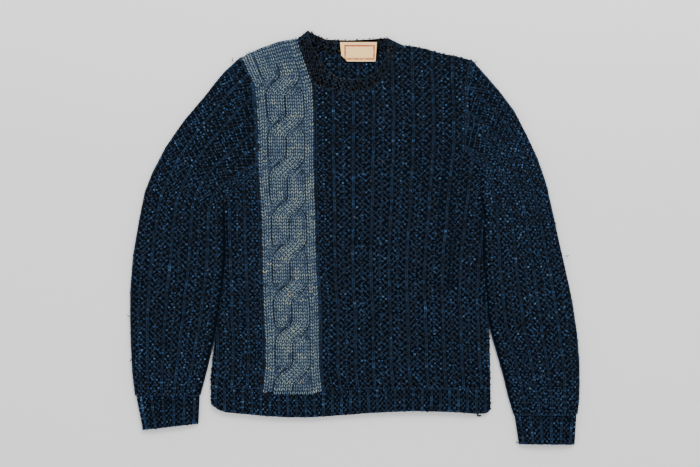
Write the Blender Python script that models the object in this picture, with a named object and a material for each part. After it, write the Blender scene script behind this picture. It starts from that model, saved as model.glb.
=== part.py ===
"""A darned jumper of chunky broad-rib knit, laid flat on its back with its front up.

Metres, +Z up from the table. +Y runs towards the neck, so the wearer's right side lies at -X
and the wearer's left side at +X. The lower layer (back, hem_back) rests on the table, the upper
layer (front, cable strip, hem_front) lies on it, and the sleeves, cuffs and neckband are
flattened tubes with one run in each layer.
"""

import math

import bmesh
import bpy
import numpy as np

# Thickness and height

WALL = 0.0042  # chunky knit
CABLE_WALL = 0.0036
LABEL_THICKNESS = 0.0008
LAYER_GAP = 0.0003  # between the lower and the upper layer
SEAM_GAP = 0.00045  # in plan, between pieces sewn side by side
UNDERARM_EASE = 0.003  # more of it at the point where four seams meet
UPPER_FLOOR = WALL + LAYER_GAP
FOLD_LEVEL = WALL + LAYER_GAP / 2  # height of the outermost line of a folded edge
FULLNESS = 0.0032  # air under the upper layer away from the folded edges
FULL_AT = 0.035  # distance from a folded edge at which it is reached
ROLL = 0.008  # distance over which a folded edge rounds off
ROLL_RIM = 0.25  # share of the height left at the rim of a panel's folded edge
OPEN_EDGE_DROP = 0.0012  # how much hem, cuffs and neckband thin out at their free edge

# Ribs: soft bands of moss stitch, parted by furrows

RIB_RISE = 0.0014
RIB_FLANK = 0.22  # share of a rib's pitch from the furrow to the top of the band
BAND_RISE = 0.0010  # narrow ribs of hem, cuffs and neckband
FRONT_FURROWS = 9
FRONT_FIRST = 0.0172  # from the strip to the first furrow
FRONT_PITCH = (  # level, pitch
    (-0.265, 0.0308),
    (-0.108, 0.0306),
    (-0.015, 0.0316),
    (0.055, 0.0330),
    (0.138, 0.0347),
    (0.265, 0.0349),
)
SIDE_FURROWS = 3
SIDE_FIRST = 0.015
SIDE_PITCH = 0.027
SLEEVE_RIBS = 5
CUFF_RIBS = 6
HEM_RIBS = 31
NECK_RIB = 0.0135  # length of neckline to one rib
NARROWEST = 0.0018  # least width left for a column where an armhole cuts the ribs off

# Spacing of the grids

ROW_STEP = 0.028
PLAIN_STEP = 0.045  # where no rib is raised
BAND_ROWS = (0, 0.5, 0.9, 1)  # shares of the width of a band, from its seam to its free edge
SHOULDER_ROWS = (0.3, 0.6, 0.85, 1)  # shares of the way from the strip's last cable row to the shoulder
SLEEVE_EDGE = 0.06  # the column nearest to a folded edge, as a share of a rib
CUFF_EDGE = 0.12

# Outlines, as rows of (level, x) from top to bottom

RIGHT_ARMHOLE = (
    (0.3119, -0.2002),
    (0.2646, -0.1766),
    (0.2166, -0.1722),
    (0.1686, -0.1705),
    (0.1206, -0.1698),
    (0.0650, -0.2310),
)
LEFT_ARMHOLE = (
    (0.3075, 0.2023),
    (0.2646, 0.1935),
    (0.2166, 0.1940),
    (0.1926, 0.1935),
    (0.1566, 0.1890),
    (0.1206, 0.2215),
)
RIGHT_SIDE = (
    (0.0650, -0.2310),
    (0.0360, -0.2280),
    (0.0110, -0.2265),
    (-0.0430, -0.2265),
    (-0.1080, -0.2350),
    (-0.1480, -0.2405),
    (-0.1900, -0.2466),
    (-0.2450, -0.2527),
    (-0.2930, -0.2520),
)
LEFT_SIDE = (
    (0.1206, 0.2215),
    (0.0930, 0.2225),
    (0.0650, 0.2190),
    (0.0360, 0.2250),
    (0.0110, 0.2225),
    (-0.0430, 0.2222),
    (-0.1080, 0.2287),
    (-0.1480, 0.2325),
    (-0.1900, 0.2347),
    (-0.2450, 0.2353),
    (-0.3020, 0.2360),
)
HEM_SEAM = -0.265
HEM_EDGE = (  # x, level of the free edge
    (-0.2520, -0.2930),
    (-0.2400, -0.3020),
    (-0.2260, -0.3070),
    (-0.1650, -0.3128),
    (-0.1180, -0.3158),
    (-0.0740, -0.3155),
    (0.0270, -0.3080),
    (0.1010, -0.3048),
    (0.1710, -0.3066),
    (0.2130, -0.3094),
    (0.2280, -0.3088),
    (0.2360, -0.3020),
)

# The cable strip: level, its edge at the wearer's right, its edge at the wearer's left

STRIP = (
    (0.2646, -0.1766, -0.0748),
    (0.2166, -0.1722, -0.0728),
    (0.1686, -0.1705, -0.0725),
    (0.1206, -0.1698, -0.0725),
    (0.0366, -0.1638, -0.0702),
    (-0.0474, -0.1624, -0.0681),
    (-0.1314, -0.1600, -0.0637),
    (-0.1794, -0.1570, -0.0634),
    (-0.2274, -0.1572, -0.0625),
    (-0.2634, -0.1612, -0.0588),
    (-0.2720, -0.1635, -0.0572),
)
STRIP_END = -0.272  # it runs a little way over the top of the hem band
TWIST = 0.072  # from one crossing of the cable to the next
ROWS_PER_TWIST = 6
FIRST_CROSSING = 0.2646
CABLE_MIDDLE = 0.525  # share of the strip's width
CABLE_SWING = 0.13  # how far a strand's middle lies from the cable's middle, as a share
STRAND_HALF = 0.15  # half a strand's width, as a share
STRAND_RISE = 0.0034
STRAND_UNDER = 0.0014  # height of a strand where it passes under the other
EDGE_RIB_RISE = 0.0012
CABLE_COLUMNS = (
    (0, 0.04, 0.19)  # the rib beside the armhole
    + (0.235, 0.28, 0.35, 0.41, 0.47, 0.525, 0.58, 0.64, 0.70, 0.77, 0.805)
    + (0.85, 0.96, 1)  # the rib beside the front
)
EDGE_RIBS = ((0.0, 0.19), (0.85, 1.0))  # shares of the width that the plain side ribs take

# Neck and shoulders, as points (x, y)


NECK_RIGHT = (-0.1017, 0.3456)  # where neckband, strip and shoulder meet
NECK_RIGHT_PEAK = (-0.0838, 0.3593)
NECK_LEFT_PEAK = (0.0570, 0.3469)
NECK_END_FURROW = 4  # the neckband ends at this furrow on the wearer's left shoulder
RIGHT_SHOULDER = (
    (-0.2002, 0.3119),
    (-0.1880, 0.3202),
    (-0.1740, 0.3259),
    (-0.1600, 0.3320),
    (-0.1460, 0.3359),
    (-0.1320, 0.3416),
    (-0.1180, 0.3444),
    NECK_RIGHT,
)
LEFT_SHOULDER = (
    (0.0772, 0.3346),
    (0.1060, 0.3311),
    (0.1288, 0.3259),
    (0.1480, 0.3192),
    (0.1726, 0.3154),
    (0.2023, 0.3075),
)
FRONT_NECKLINE = (
    (-0.0748, 0.2646),
    (-0.0541, 0.2581),
    (-0.0322, 0.2506),
    (-0.0112, 0.2492),
    (0.0081, 0.2518),
    (0.0266, 0.2581),
    (0.0459, 0.2711),
    (0.0588, 0.2944),
    (0.0651, 0.3159),
    (0.0772, 0.3346),
)
FRONT_FREE = (
    NECK_RIGHT_PEAK,
    (-0.0780, 0.3340),
    (-0.0707, 0.3206),
    (-0.0607, 0.3031),
    (-0.0462, 0.2870),
    (-0.0322, 0.2765),
    (-0.0100, 0.2725),
    (0.0163, 0.2740),
    (0.0336, 0.2825),
    (0.0448, 0.2979),
    (0.0553, 0.3136),
    NECK_LEFT_PEAK,
)
BACK_NECKLINE = ((-0.0600, 0.3210), (-0.0095, 0.3153), (0.0400, 0.3200))
BACK_FREE = (NECK_RIGHT_PEAK, (-0.0532, 0.3442), (-0.0095, 0.3425), (0.0300, 0.3448), NECK_LEFT_PEAK)
LABEL = ((-0.0270, 0.3395), (0.0375, 0.3395), (0.0350, 0.3057), (-0.0140, 0.3057), (-0.0245, 0.3163))

# Sleeves: a row for each ring from armhole to cuff. inner_x None lies against the body's side

RIGHT_SLEEVE = (  # outer_x, outer_y, inner_x, inner_y, share of the armhole's curve
    (-0.2002, 0.3119, None, 0.0650, 1.00),
    (-0.2300, 0.2845, None, 0.0635, 0.72),
    (-0.2632, 0.2427, None, 0.0620, 0.47),
    (-0.2982, 0.2016, None, 0.0605, 0.27),
    (-0.3304, 0.1552, None, 0.0590, 0.13),
    (-0.3520, 0.1141, None, 0.0520, 0.05),
    (-0.3668, 0.0774, None, 0.0360, 0.00),
    (-0.3772, 0.0249, None, 0.0110, 0.00),
    (-0.3873, -0.0347, None, -0.0430, 0.00),
    (-0.3922, -0.0977, None, -0.1080, 0.00),
    (-0.3924, -0.1467, None, -0.1480, 0.00),
    (-0.3910, -0.1904, -0.2501, -0.1904, 0.00),
    (-0.3888, -0.2377, -0.2615, -0.2359, 0.00),
    (-0.3840, -0.2779, -0.2723, -0.2779, 0.00),
)
LEFT_SLEEVE = (
    (0.2023, 0.3075, None, 0.1206, 1.00),
    (0.2286, 0.2777, None, 0.1191, 0.72),
    (0.2513, 0.2518, None, 0.1176, 0.47),
    (0.2758, 0.2191, None, 0.1161, 0.27),
    (0.2986, 0.1754, None, 0.1146, 0.13),
    (0.3178, 0.1334, None, 0.0930, 0.05),
    (0.3327, 0.0896, None, 0.0650, 0.00),
    (0.3423, 0.0476, None, 0.0360, 0.00),
    (0.3528, -0.0014, None, 0.0110, 0.00),
    (0.3659, -0.0592, None, -0.0430, 0.00),
    (0.3773, -0.1117, None, -0.1080, 0.00),
    (0.3861, -0.1712, None, -0.1480, 0.00),
    (0.3902, -0.2170, 0.2435, -0.1869, 0.00),
    (0.3906, -0.2590, 0.2601, -0.2447, 0.00),
    (0.3895, -0.2880, 0.2684, -0.2800, 0.00),
    (0.3868, -0.3120, 0.2781, -0.3120, 0.00),
)
RIGHT_CUFF_END = ((-0.3722, -0.3380), (-0.2745, -0.3270))  # outer corner, inner corner
LEFT_CUFF_END = ((0.3836, -0.3636), (0.2858, -0.3630))

# Folds in the upper layer: a straight stretch each, with its half width and its rise

FOLDS = (  # x0, y0, x1, y1, width, rise
    (0.1586, 0.1370, 0.1410, 0.0250, 0.009, -0.0028),
    (0.1410, 0.0250, 0.1376, -0.0240, 0.008, -0.0024),
    (0.1673, 0.0250, 0.1656, -0.0990, 0.009, -0.0028),
    (0.1656, -0.0990, 0.1740, -0.1380, 0.008, -0.0018),
    (0.1900, -0.0850, 0.1970, -0.1780, 0.009, -0.0026),
    (0.1970, -0.1780, 0.2040, -0.2310, 0.008, -0.0018),
    (0.1760, 0.1150, 0.1540, -0.0240, 0.011, 0.0022),
    (0.1810, 0.0100, 0.1800, -0.1000, 0.010, 0.0018),
    (0.1990, 0.1770, 0.2268, 0.1510, 0.009, -0.0022),
    (-0.1810, 0.1316, -0.2177, 0.1246, 0.009, -0.0030),
    (-0.2177, 0.1246, -0.2737, 0.1250, 0.009, -0.0026),
    (-0.1840, 0.1530, -0.2630, 0.1510, 0.012, 0.0024),
    (-0.2490, 0.0950, -0.2420, -0.0277, 0.009, -0.0020),
    (-0.2310, 0.0700, -0.2310, 0.0600, 0.012, -0.0030),
    (-0.2900, 0.0900, -0.2800, -0.0600, 0.010, -0.0014),
    (-0.3250, 0.0700, -0.3250, -0.0200, 0.012, 0.0014),
    (0.2750, 0.1400, 0.3000, 0.0300, 0.012, 0.0014),
    (0.3100, -0.1500, 0.3350, -0.2300, 0.012, 0.0014),
)

# The middle of the finished outline, which becomes the origin

CENTRE = (-0.0009, -0.00215)

YARN_NAVY = (0.020, 0.032, 0.056)
YARN_MARL = (0.165, 0.205, 0.255)
YARN_WORN = (0.036, 0.040, 0.046)
WOVEN_CREAM = (0.72, 0.66, 0.55)


def level_x(table, level):
    """The x of an outline at a level, straight between its rows."""
    rows = sorted((row[0], row[1]) for row in table)
    return float(np.interp(level, [r[0] for r in rows], [r[1] for r in rows]))


def strip_edges(level):
    rows = sorted(STRIP)
    levels = [r[0] for r in rows]
    return (
        float(np.interp(level, levels, [r[1] for r in rows])),
        float(np.interp(level, levels, [r[2] for r in rows])),
    )


def height_at(points, x):
    """The y of a line of points that runs from left to right."""
    return float(np.interp(x, [p[0] for p in points], [p[1] for p in points]))


def lengths(points):
    steps = [math.dist(a, b) for a, b in zip(points, points[1:])]
    return [0.0] + list(np.cumsum(steps))


def along(points, distance):
    """The point that lies this far along a line of points."""
    marks = lengths(points)
    return tuple(float(np.interp(distance, marks, [p[axis] for p in points])) for axis in (0, 1))


def between(a, b, share):
    return tuple(p + (q - p) * share for p, q in zip(a, b))


def subdivided(knots, longest):
    """The knots with more values between them, so that no step is longer than this."""
    values = [knots[0]]
    for start, end in zip(knots, knots[1:]):
        count = max(1, math.ceil(abs(end - start) / longest - 1e-6))
        values += [start + (end - start) * (step + 1) / count for step in range(count)]
    return values


def inner_x(row, side):
    return level_x(side, row[3]) if row[2] is None else row[2]


def sleeve_edges(table, side, cuff_end):
    """The outer and the inner folded edge of a sleeve and its cuff."""
    outer = [(row[0], row[1]) for row in table] + [cuff_end[0]]
    inner = [(inner_x(row, side), row[3]) for row in table] + [cuff_end[1]]
    return outer, inner


RIGHT_OUTER, RIGHT_INNER = sleeve_edges(RIGHT_SLEEVE, RIGHT_SIDE, RIGHT_CUFF_END)
LEFT_OUTER, LEFT_INNER = sleeve_edges(LEFT_SLEEVE, LEFT_SIDE, LEFT_CUFF_END)
FOLDED_EDGES = (
    RIGHT_OUTER[::-1] + list(RIGHT_SHOULDER) + [NECK_RIGHT_PEAK],
    [NECK_LEFT_PEAK] + list(LEFT_SHOULDER) + LEFT_OUTER,
    RIGHT_INNER,
    LEFT_INNER,
    [(x, level) for level, x in RIGHT_SIDE],
    [(x, level) for level, x in LEFT_SIDE],
)
FOLDED_STARTS = np.array([p for line in FOLDED_EDGES for p in line[:-1]])
FOLDED_ENDS = np.array([p for line in FOLDED_EDGES for p in line[1:]])


def distances(x, y, starts, ends):
    """How far a point lies from each of the segments."""
    runs = ends - starts
    offsets = np.array((x, y)) - starts
    squares = np.maximum((runs**2).sum(axis=1), 1e-12)
    shares = np.clip((offsets * runs).sum(axis=1) / squares, 0, 1)
    return np.linalg.norm(offsets - runs * shares[:, None], axis=1)


def from_fold(x, y):
    return float(distances(x, y, FOLDED_STARTS, FOLDED_ENDS).min())


def lift(x, y):
    """How far the underside of the upper layer lies above its lowest place."""
    share = min(1.0, from_fold(x, y) / FULL_AT)
    table = np.array(FOLDS)
    reach = distances(x, y, table[:, 0:2], table[:, 2:4]) / table[:, 4]
    folds = float((table[:, 5] * np.exp(-(reach**2))).sum())
    return max(0.0, (FULLNESS + folds) * share * (2 - share))


def roll(x, y):
    """0 on a folded edge and 1 past its rounding."""
    left = 1 - min(1.0, from_fold(x, y) / ROLL)
    return math.sqrt(1 - left * left)


def upper_outside(x, y, wall, relief):
    return UPPER_FLOOR + (wall + relief + lift(x, y)) * max(ROLL_RIM, roll(x, y))


def upper_inside(x, y):
    return UPPER_FLOOR + lift(x, y)


def lower_outside(x, y):
    return FOLD_LEVEL * (1 - max(ROLL_RIM, roll(x, y)))


def tube_underside(x, y):
    return FOLD_LEVEL * (1 - roll(x, y))


def rib(phase):
    """0 in a furrow, at whole numbers, and 1 on the band between two."""
    return min(1.0, abs(phase - round(phase)) / RIB_FLANK)


def clear_scene():
    for obj in list(bpy.data.objects):
        bpy.data.objects.remove(obj, do_unlink=True)


def finish(name, colour, roughness):
    material = bpy.data.materials.new(name)
    material.use_nodes = True
    shader = material.node_tree.nodes["Principled BSDF"]
    shader.inputs["Base Color"].default_value = (*colour, 1.0)
    shader.inputs["Roughness"].default_value = roughness
    shader.inputs["Metallic"].default_value = 0.0
    return material


def cloth(name, outer, inner, material, collection, ring=False):
    """A closed wall over a grid: rows of outer points, and the same number of inner ones."""
    columns = len(outer[0]) - (0 if ring else 1)
    mesh = bmesh.new()
    bmesh.ops.create_grid(mesh, x_segments=columns, y_segments=len(outer) - 1, size=1.0)
    column_of = mesh.verts.layers.int.new("column")
    row_of = mesh.verts.layers.int.new("row")
    grid = {}
    for index, vert in enumerate(mesh.verts):
        vert[column_of] = index % (columns + 1)
        vert[row_of] = index // (columns + 1)
        grid[vert[row_of], vert[column_of]] = vert
    if ring:
        ends = {grid[row, columns]: grid[row, 0] for row in range(len(outer))}
        bmesh.ops.weld_verts(mesh, targetmap=ends)
    lining = bmesh.ops.extrude_face_region(mesh, geom=mesh.faces[:], use_keep_orig=True)
    lined = {element for element in lining["geom"] if isinstance(element, bmesh.types.BMVert)}
    for vert in mesh.verts:
        points = inner if vert in lined else outer
        x, y, z = points[vert[row_of]][vert[column_of]]
        vert.co = (x - CENTRE[0], y - CENTRE[1], z)
    bmesh.ops.recalc_face_normals(mesh, faces=mesh.faces[:])
    if mesh.calc_volume(signed=True) < 0:
        bmesh.ops.reverse_faces(mesh, faces=mesh.faces[:])
    data = bpy.data.meshes.new(name)
    mesh.to_mesh(data)
    mesh.free()
    data.shade_smooth()
    data.set_sharp_from_angle(angle=math.radians(50))
    data.materials.append(material)
    obj = bpy.data.objects.new(name, data)
    collection.objects.link(obj)
    return obj


def panel(name, rows, wall, material, collection):
    """A wall of the upper layer. Each row is a list of (x, y, relief, drop at a free edge)."""
    outer = [[(x, y, upper_outside(x, y, wall, relief) - drop) for x, y, relief, drop in row] for row in rows]
    inner = [[(x, y, upper_inside(x, y)) for x, y, relief, drop in row] for row in rows]
    cloth(name, outer, inner, material, collection)


def ribbed_line(seam, edge, first, pitch, furrows):
    """Columns from a seam to a folded edge: three to a furrow, cut off where the edge comes first."""
    way = 1 if edge > seam else -1
    limit = abs(edge - seam) - 3 * ROLL / 4
    spans = [0.0]
    for furrow in range(furrows):
        spans += [first + (furrow + side) * pitch for side in (-RIB_FLANK, 0, RIB_FLANK)]
    last = len(spans)
    spans = [min(span, limit - (last - index) * NARROWEST) for index, span in enumerate(spans)]
    spans += [limit, limit + ROLL / 2, limit + 3 * ROLL / 4]
    return [seam + way * span for span in spans]


def front_line(left, right, pitch):
    return ribbed_line(left, right, FRONT_FIRST, pitch, FRONT_FURROWS)


def front_relief(x, left, pitch):
    return RIB_RISE * rib((x - left - FRONT_FIRST) / pitch)


def pitch_at(level):
    return float(np.interp(level, [p[0] for p in FRONT_PITCH], [p[1] for p in FRONT_PITCH]))


def body_right_edge(level):
    """The body's edge at -X, just clear of the sleeve."""
    rows = [(lv, x + SEAM_GAP) for lv, x in RIGHT_ARMHOLE[:-1]]
    rows += [(RIGHT_SIDE[0][0], RIGHT_SIDE[0][1] + SEAM_GAP + UNDERARM_EASE)]
    rows += [(lv, x + SEAM_GAP) for lv, x in RIGHT_SIDE[1:]]
    return level_x(rows, level)


def body_left_edge(level):
    """The body's edge at +X, just clear of the sleeve."""
    rows = [(lv, x - SEAM_GAP) for lv, x in LEFT_ARMHOLE[:-1]]
    rows += [(LEFT_SIDE[0][0], LEFT_SIDE[0][1] - SEAM_GAP - UNDERARM_EASE)]
    rows += [(lv, x - SEAM_GAP) for lv, x in LEFT_SIDE[1:]]
    return level_x(rows, level)


def front_top():
    """The columns of the front along its top, which are also the knots of the neckline."""
    left = STRIP[0][2] + SEAM_GAP / 2
    right = LEFT_ARMHOLE[0][1] - SEAM_GAP
    xs = front_line(left, right, pitch_at(LEFT_ARMHOLE[1][0]))
    end = 3 * NECK_END_FURROW + 2
    neckline = [(x, height_at(FRONT_NECKLINE, x)) for x in xs[:end]]
    neckline.append((xs[end], LEFT_SHOULDER[0][1]))
    shoulder = [(x, height_at(LEFT_SHOULDER, x)) for x in xs[end + 1 :]]
    return neckline, shoulder


def front_main(material, collection):
    knots = [HEM_SEAM + SEAM_GAP / 2] + [row[0] for row in LEFT_SIDE[-2::-1]]
    knots += [row[0] for row in LEFT_ARMHOLE[4:1:-1]]
    rows = []
    for level in subdivided(knots, ROW_STEP):
        left = strip_edges(level)[1] + SEAM_GAP / 2
        pitch = pitch_at(level)
        xs = front_line(left, body_left_edge(level), pitch)
        rows.append([(x, level, front_relief(x, left, pitch), 0) for x in xs])
    neckline, shoulder = front_top()
    top = neckline + shoulder
    base = rows[-1]
    spread_to = LEFT_ARMHOLE[0][0] - base[0][1]
    knot = (LEFT_ARMHOLE[1][0] - base[0][1]) / spread_to
    for share in (knot / 2, knot, (1 + knot) / 2, 1):
        level = base[0][1] + spread_to * share
        right = body_left_edge(level)
        edge = right - 3 * ROLL / 4
        row = []
        for index, (start, end) in enumerate(zip(base[:-3], top)):
            x, y = between(start[:2], end, share)
            x = min(x, edge - (len(base) - 3 - index) * NARROWEST)
            row.append((x, y - SEAM_GAP / 2 * (share == 1), start[2], 0))
        for x, start, end in zip((edge, right - ROLL / 4, right), base[-3:], top[-3:]):
            row.append((x, between(start[:2], end, share)[1], 0, 0))
        rows.append(row)
    panel("front_main", rows, WALL, material, collection)


def front_side(material, collection):
    """The rest of the front between the side and the strip, below the armhole."""
    top_right = (RIGHT_ARMHOLE[4][1], RIGHT_ARMHOLE[4][0] - 2 * SEAM_GAP)
    bottom = HEM_SEAM + SEAM_GAP / 2
    knots = [bottom] + [row[0] for row in RIGHT_SIDE[-2:0:-1]] + [RIGHT_SIDE[0][0] - UNDERARM_EASE]
    rows = []
    for level in subdivided(knots, ROW_STEP):
        share = (level - bottom) / (knots[-1] - bottom)
        level_at_strip = bottom + (top_right[1] - bottom) * share
        outer = body_right_edge(level)
        strip = strip_edges(level_at_strip)[0] - SEAM_GAP / 2
        xs = ribbed_line(strip, outer, SIDE_FIRST, SIDE_PITCH, SIDE_FURROWS)
        row = []
        for x in reversed(xs):
            y = level + (level_at_strip - level) * (x - outer) / (strip - outer)
            row.append((x, y, RIB_RISE * rib((strip - x - SIDE_FIRST) / SIDE_PITCH), 0))
        rows.append(row)
    panel("front_side", rows, WALL, material, collection)


def cable_relief(share, level):
    """Height of the strip's outer face over its plain wall, from the strands of the cable."""
    for start, end in EDGE_RIBS:
        if start <= share <= end:
            middle = (start + end) / 2
            return EDGE_RIB_RISE * math.sqrt(max(0.0, 1 - ((share - middle) / (end - middle)) ** 2))
    turn = math.pi * ((FIRST_CROSSING - level) / TWIST + 0.5)
    fade = min(1.0, max(0.0, (FIRST_CROSSING + TWIST / 2 - level) / (TWIST / 2)))
    best = 0.0
    for strand in (0, 1):
        angle = turn + strand * math.pi
        middle = CABLE_MIDDLE + CABLE_SWING * math.cos(angle)
        across = (share - middle) / STRAND_HALF
        if abs(across) < 1:
            over = 0.5 + 0.5 * math.sin(angle)
            height = STRAND_UNDER + (STRAND_RISE - STRAND_UNDER) * over
            best = max(best, height * math.sqrt(1 - across * across))
    return best * fade


def cable_panel(material, collection):
    step = TWIST / ROWS_PER_TWIST
    count = int((FIRST_CROSSING - STRIP_END) / step)
    levels = [STRIP_END + SEAM_GAP / 2] + [FIRST_CROSSING - step * row for row in range(count, -1, -1)]
    rows = []
    for level in levels:
        left, right = strip_edges(level)
        left += SEAM_GAP / 2
        right -= SEAM_GAP / 2
        if level >= RIGHT_ARMHOLE[4][0]:
            left += SEAM_GAP / 2
        rows.append([(left + (right - left) * c, level, cable_relief(c, level), 0) for c in CABLE_COLUMNS])
    base = rows[-1]
    start = RIGHT_SHOULDER[0][0] + SEAM_GAP
    end = NECK_RIGHT[0] - SEAM_GAP / 2
    xs = [start + (end - start) * c for c in CABLE_COLUMNS]
    top = [(x, height_at(RIGHT_SHOULDER, x)) for x in xs]
    for share in SHOULDER_ROWS:
        row = []
        for c, low, high in zip(CABLE_COLUMNS, base, top):
            x, y = between(low[:2], high, share)
            row.append((x, y, cable_relief(c, y), 0))
        rows.append(row)
    panel("cable_panel", rows, CABLE_WALL, material, collection)


def hem_front(material, collection):
    """Ribbed band of the front. Its top dips under the end of the strip."""
    left, right = level_x(RIGHT_SIDE, HEM_SEAM) + SEAM_GAP, level_x(LEFT_SIDE, HEM_SEAM) - SEAM_GAP
    strip_start, strip_end = STRIP[-1][1] - 2 * SEAM_GAP, STRIP[-1][2] + 2 * SEAM_GAP
    pitch = (right - left) / HEM_RIBS
    fixed = [left, left + ROLL / 4, right - ROLL / 4, right]
    fixed += [strip_start, strip_start + SEAM_GAP, strip_end - SEAM_GAP, strip_end]
    ribs = [left + pitch * step / 2 for step in range(2 * HEM_RIBS + 1)]
    xs = sorted(fixed + [x for x in ribs if min(abs(x - other) for other in fixed) > NARROWEST])
    rows = []
    for share in BAND_ROWS:
        row = []
        for x in xs:
            dip = strip_start < x < strip_end
            top = (STRIP_END if dip else HEM_SEAM) - SEAM_GAP / 2
            bottom = height_at(HEM_EDGE, x)
            phase = (x - left) / pitch
            relief = BAND_RISE * (1 - abs(2 * (phase - math.floor(phase)) - 1))
            row.append((x, bottom + (top - bottom) * (1 - share), relief, OPEN_EDGE_DROP * (share == 1)))
        rows.append(row)
    panel("hem_front", rows[::-1], WALL, material, collection)


def flat_panel(name, rows, material, collection):
    """A wall of the lower layer, flat underneath. Each row is a list of (x, y)."""
    outer = [[(x, y, WALL) for x, y in row] for row in rows]
    inner = [[(x, y, lower_outside(x, y)) for x, y in row] for row in rows]
    cloth(name, outer, inner, material, collection)


def back_knots():
    """Shares of the back's width, so that the neckline's knots and both corners lie on a column."""
    neckline, shoulder = front_top()
    left, right = RIGHT_ARMHOLE[0][1] + SEAM_GAP, LEFT_ARMHOLE[0][1] - SEAM_GAP
    knots = [left, NECK_RIGHT[0]] + [p[0] for p in BACK_NECKLINE] + [neckline[-1][0], right]
    edge = ROLL / 4
    xs = subdivided(knots, PLAIN_STEP)
    xs = [left, left + edge, left + 3 * edge] + xs[1:-1] + [right - 3 * edge, right - edge, right]
    return [(x - left) / (right - left) for x in xs], xs


def back_seam():
    neckline, shoulder = front_top()
    return [NECK_RIGHT] + list(BACK_NECKLINE) + [neckline[-1]]


def back(material, collection):
    shares, top_xs = back_knots()
    armholes = {row[0] for row in RIGHT_ARMHOLE[1:] + LEFT_ARMHOLE[1:]}
    sides = {row[0] for row in RIGHT_SIDE[:-1] + LEFT_SIDE[:-1]}
    levels = subdivided(sorted(armholes | sides | {HEM_SEAM + SEAM_GAP / 2}), PLAIN_STEP)
    rows = []
    for level in levels:
        start, end = body_right_edge(level), body_left_edge(level)
        rows.append([(start + (end - start) * share, level) for share in shares])
    neck = back_seam()
    outline = list(RIGHT_SHOULDER[:-1]) + neck + list(LEFT_SHOULDER[1:])
    top = [(x, height_at(outline, x)) for x in top_xs]
    rows.append([between(low, high, 0.5) for low, high in zip(rows[-1], top)])
    rows.append(top)
    flat_panel("back", rows, material, collection)


def hem_back(material, collection):
    left, right = level_x(RIGHT_SIDE, HEM_SEAM) + SEAM_GAP, level_x(LEFT_SIDE, HEM_SEAM) - SEAM_GAP
    edge = ROLL / 4
    xs = [left, left + edge] + subdivided([left + 3 * edge, right - 3 * edge], PLAIN_STEP)
    xs += [right - edge, right]
    rows = []
    for share in BAND_ROWS[:2] + BAND_ROWS[3:]:
        row = []
        for x in xs:
            bottom = height_at(HEM_EDGE, x)
            top = HEM_SEAM - SEAM_GAP / 2
            row.append((x, bottom + (top - bottom) * (1 - share)))
        rows.append(row)
    flat_panel("hem_back", rows[::-1], material, collection)


def tube(name, rings, stations, ribs, rise, drops, material, collection):
    """A flattened tube. rings are functions from a station, 0 at the outer edge, to (x, y)."""
    upper, lower = stations
    outer, inner = [], []
    for ring, drop in zip(rings, drops):
        width = math.dist(ring(0), ring(ribs))
        outside, inside = [], []
        for on_top, line in ((True, upper), (False, lower)):
            for station in line:
                x, y = ring(station)
                edge = station in (0, ribs)
                near = min(station, ribs - station) / ribs * width
                shift = WALL * max(0.0, 1 - near / (3 * WALL)) * ribs / width
                u, v = ring(station + (shift if station < ribs / 2 else -shift))
                if edge:
                    outside.append((x, y, FOLD_LEVEL))
                    inside.append((u, v, FOLD_LEVEL))
                elif on_top:
                    relief = rise * rib(station)
                    outside.append((x, y, UPPER_FLOOR + (WALL + relief + lift(x, y)) * roll(x, y) - drop))
                    inside.append((u, v, upper_inside(u, v)))
                else:
                    outside.append((x, y, tube_underside(x, y)))
                    inside.append((u, v, WALL))
        outer.append(outside)
        inner.append(inside)
    cloth(name, outer, inner, material, collection, ring=True)


def sleeve_ring(row, side, armhole):
    """The run of one ring: straight from edge to edge, bent towards the armhole near it."""
    start, end = (row[0], row[1]), (inner_x(row, side), row[3])
    knots = [(x, level) for level, x in armhole]

    def place(station):
        share = station / SLEEVE_RIBS
        at = min(int(station), SLEEVE_RIBS - 1)
        seam = between(knots[at], knots[at + 1], station - at)
        chord = between(knots[0], knots[-1], share)
        straight = between(start, end, share)
        return tuple(p + row[4] * (q - r) for p, q, r in zip(straight, seam, chord))

    return place


def sleeve(name, table, side, armhole, material, collection):
    upper = [0, SLEEVE_EDGE]
    for number in range(SLEEVE_RIBS):
        upper += [number] * (number > 0) + [number + RIB_FLANK, number + 1 - RIB_FLANK]
    upper += [SLEEVE_RIBS - SLEEVE_EDGE, SLEEVE_RIBS]
    lower = [SLEEVE_RIBS - SLEEVE_EDGE, SLEEVE_RIBS - RIB_FLANK]
    lower += list(range(SLEEVE_RIBS - 1, 0, -1)) + [RIB_FLANK, SLEEVE_EDGE]
    rings = [sleeve_ring(row, side, armhole) for row in table]
    tube(name, rings, (upper, lower), SLEEVE_RIBS, RIB_RISE, [0] * len(rings), material, collection)


def cuff(name, last, end, material, collection):
    """A short tube from the sleeve's last ring to the free end."""
    start = ((last[0], last[1]), (last[2], last[3]))
    halves = [step / 2 for step in range(1, 2 * CUFF_RIBS)]
    upper = [0, CUFF_EDGE] + halves + [CUFF_RIBS - CUFF_EDGE, CUFF_RIBS]
    lower = [CUFF_RIBS - CUFF_EDGE, halves[-1]] + list(range(CUFF_RIBS - 2, 0, -2)) + [halves[0], CUFF_EDGE]
    gap = SEAM_GAP / math.dist(start[0], end[0])
    rings = []
    for share in (gap,) + BAND_ROWS[1:]:
        a, b = between(start[0], end[0], share), between(start[1], end[1], share)
        rings.append(lambda station, a=a, b=b: between(a, b, station / CUFF_RIBS))
    drops = [0, 0, 0, OPEN_EDGE_DROP]
    tube(name, rings, (upper, lower), CUFF_RIBS, BAND_RISE, drops, material, collection)


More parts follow.
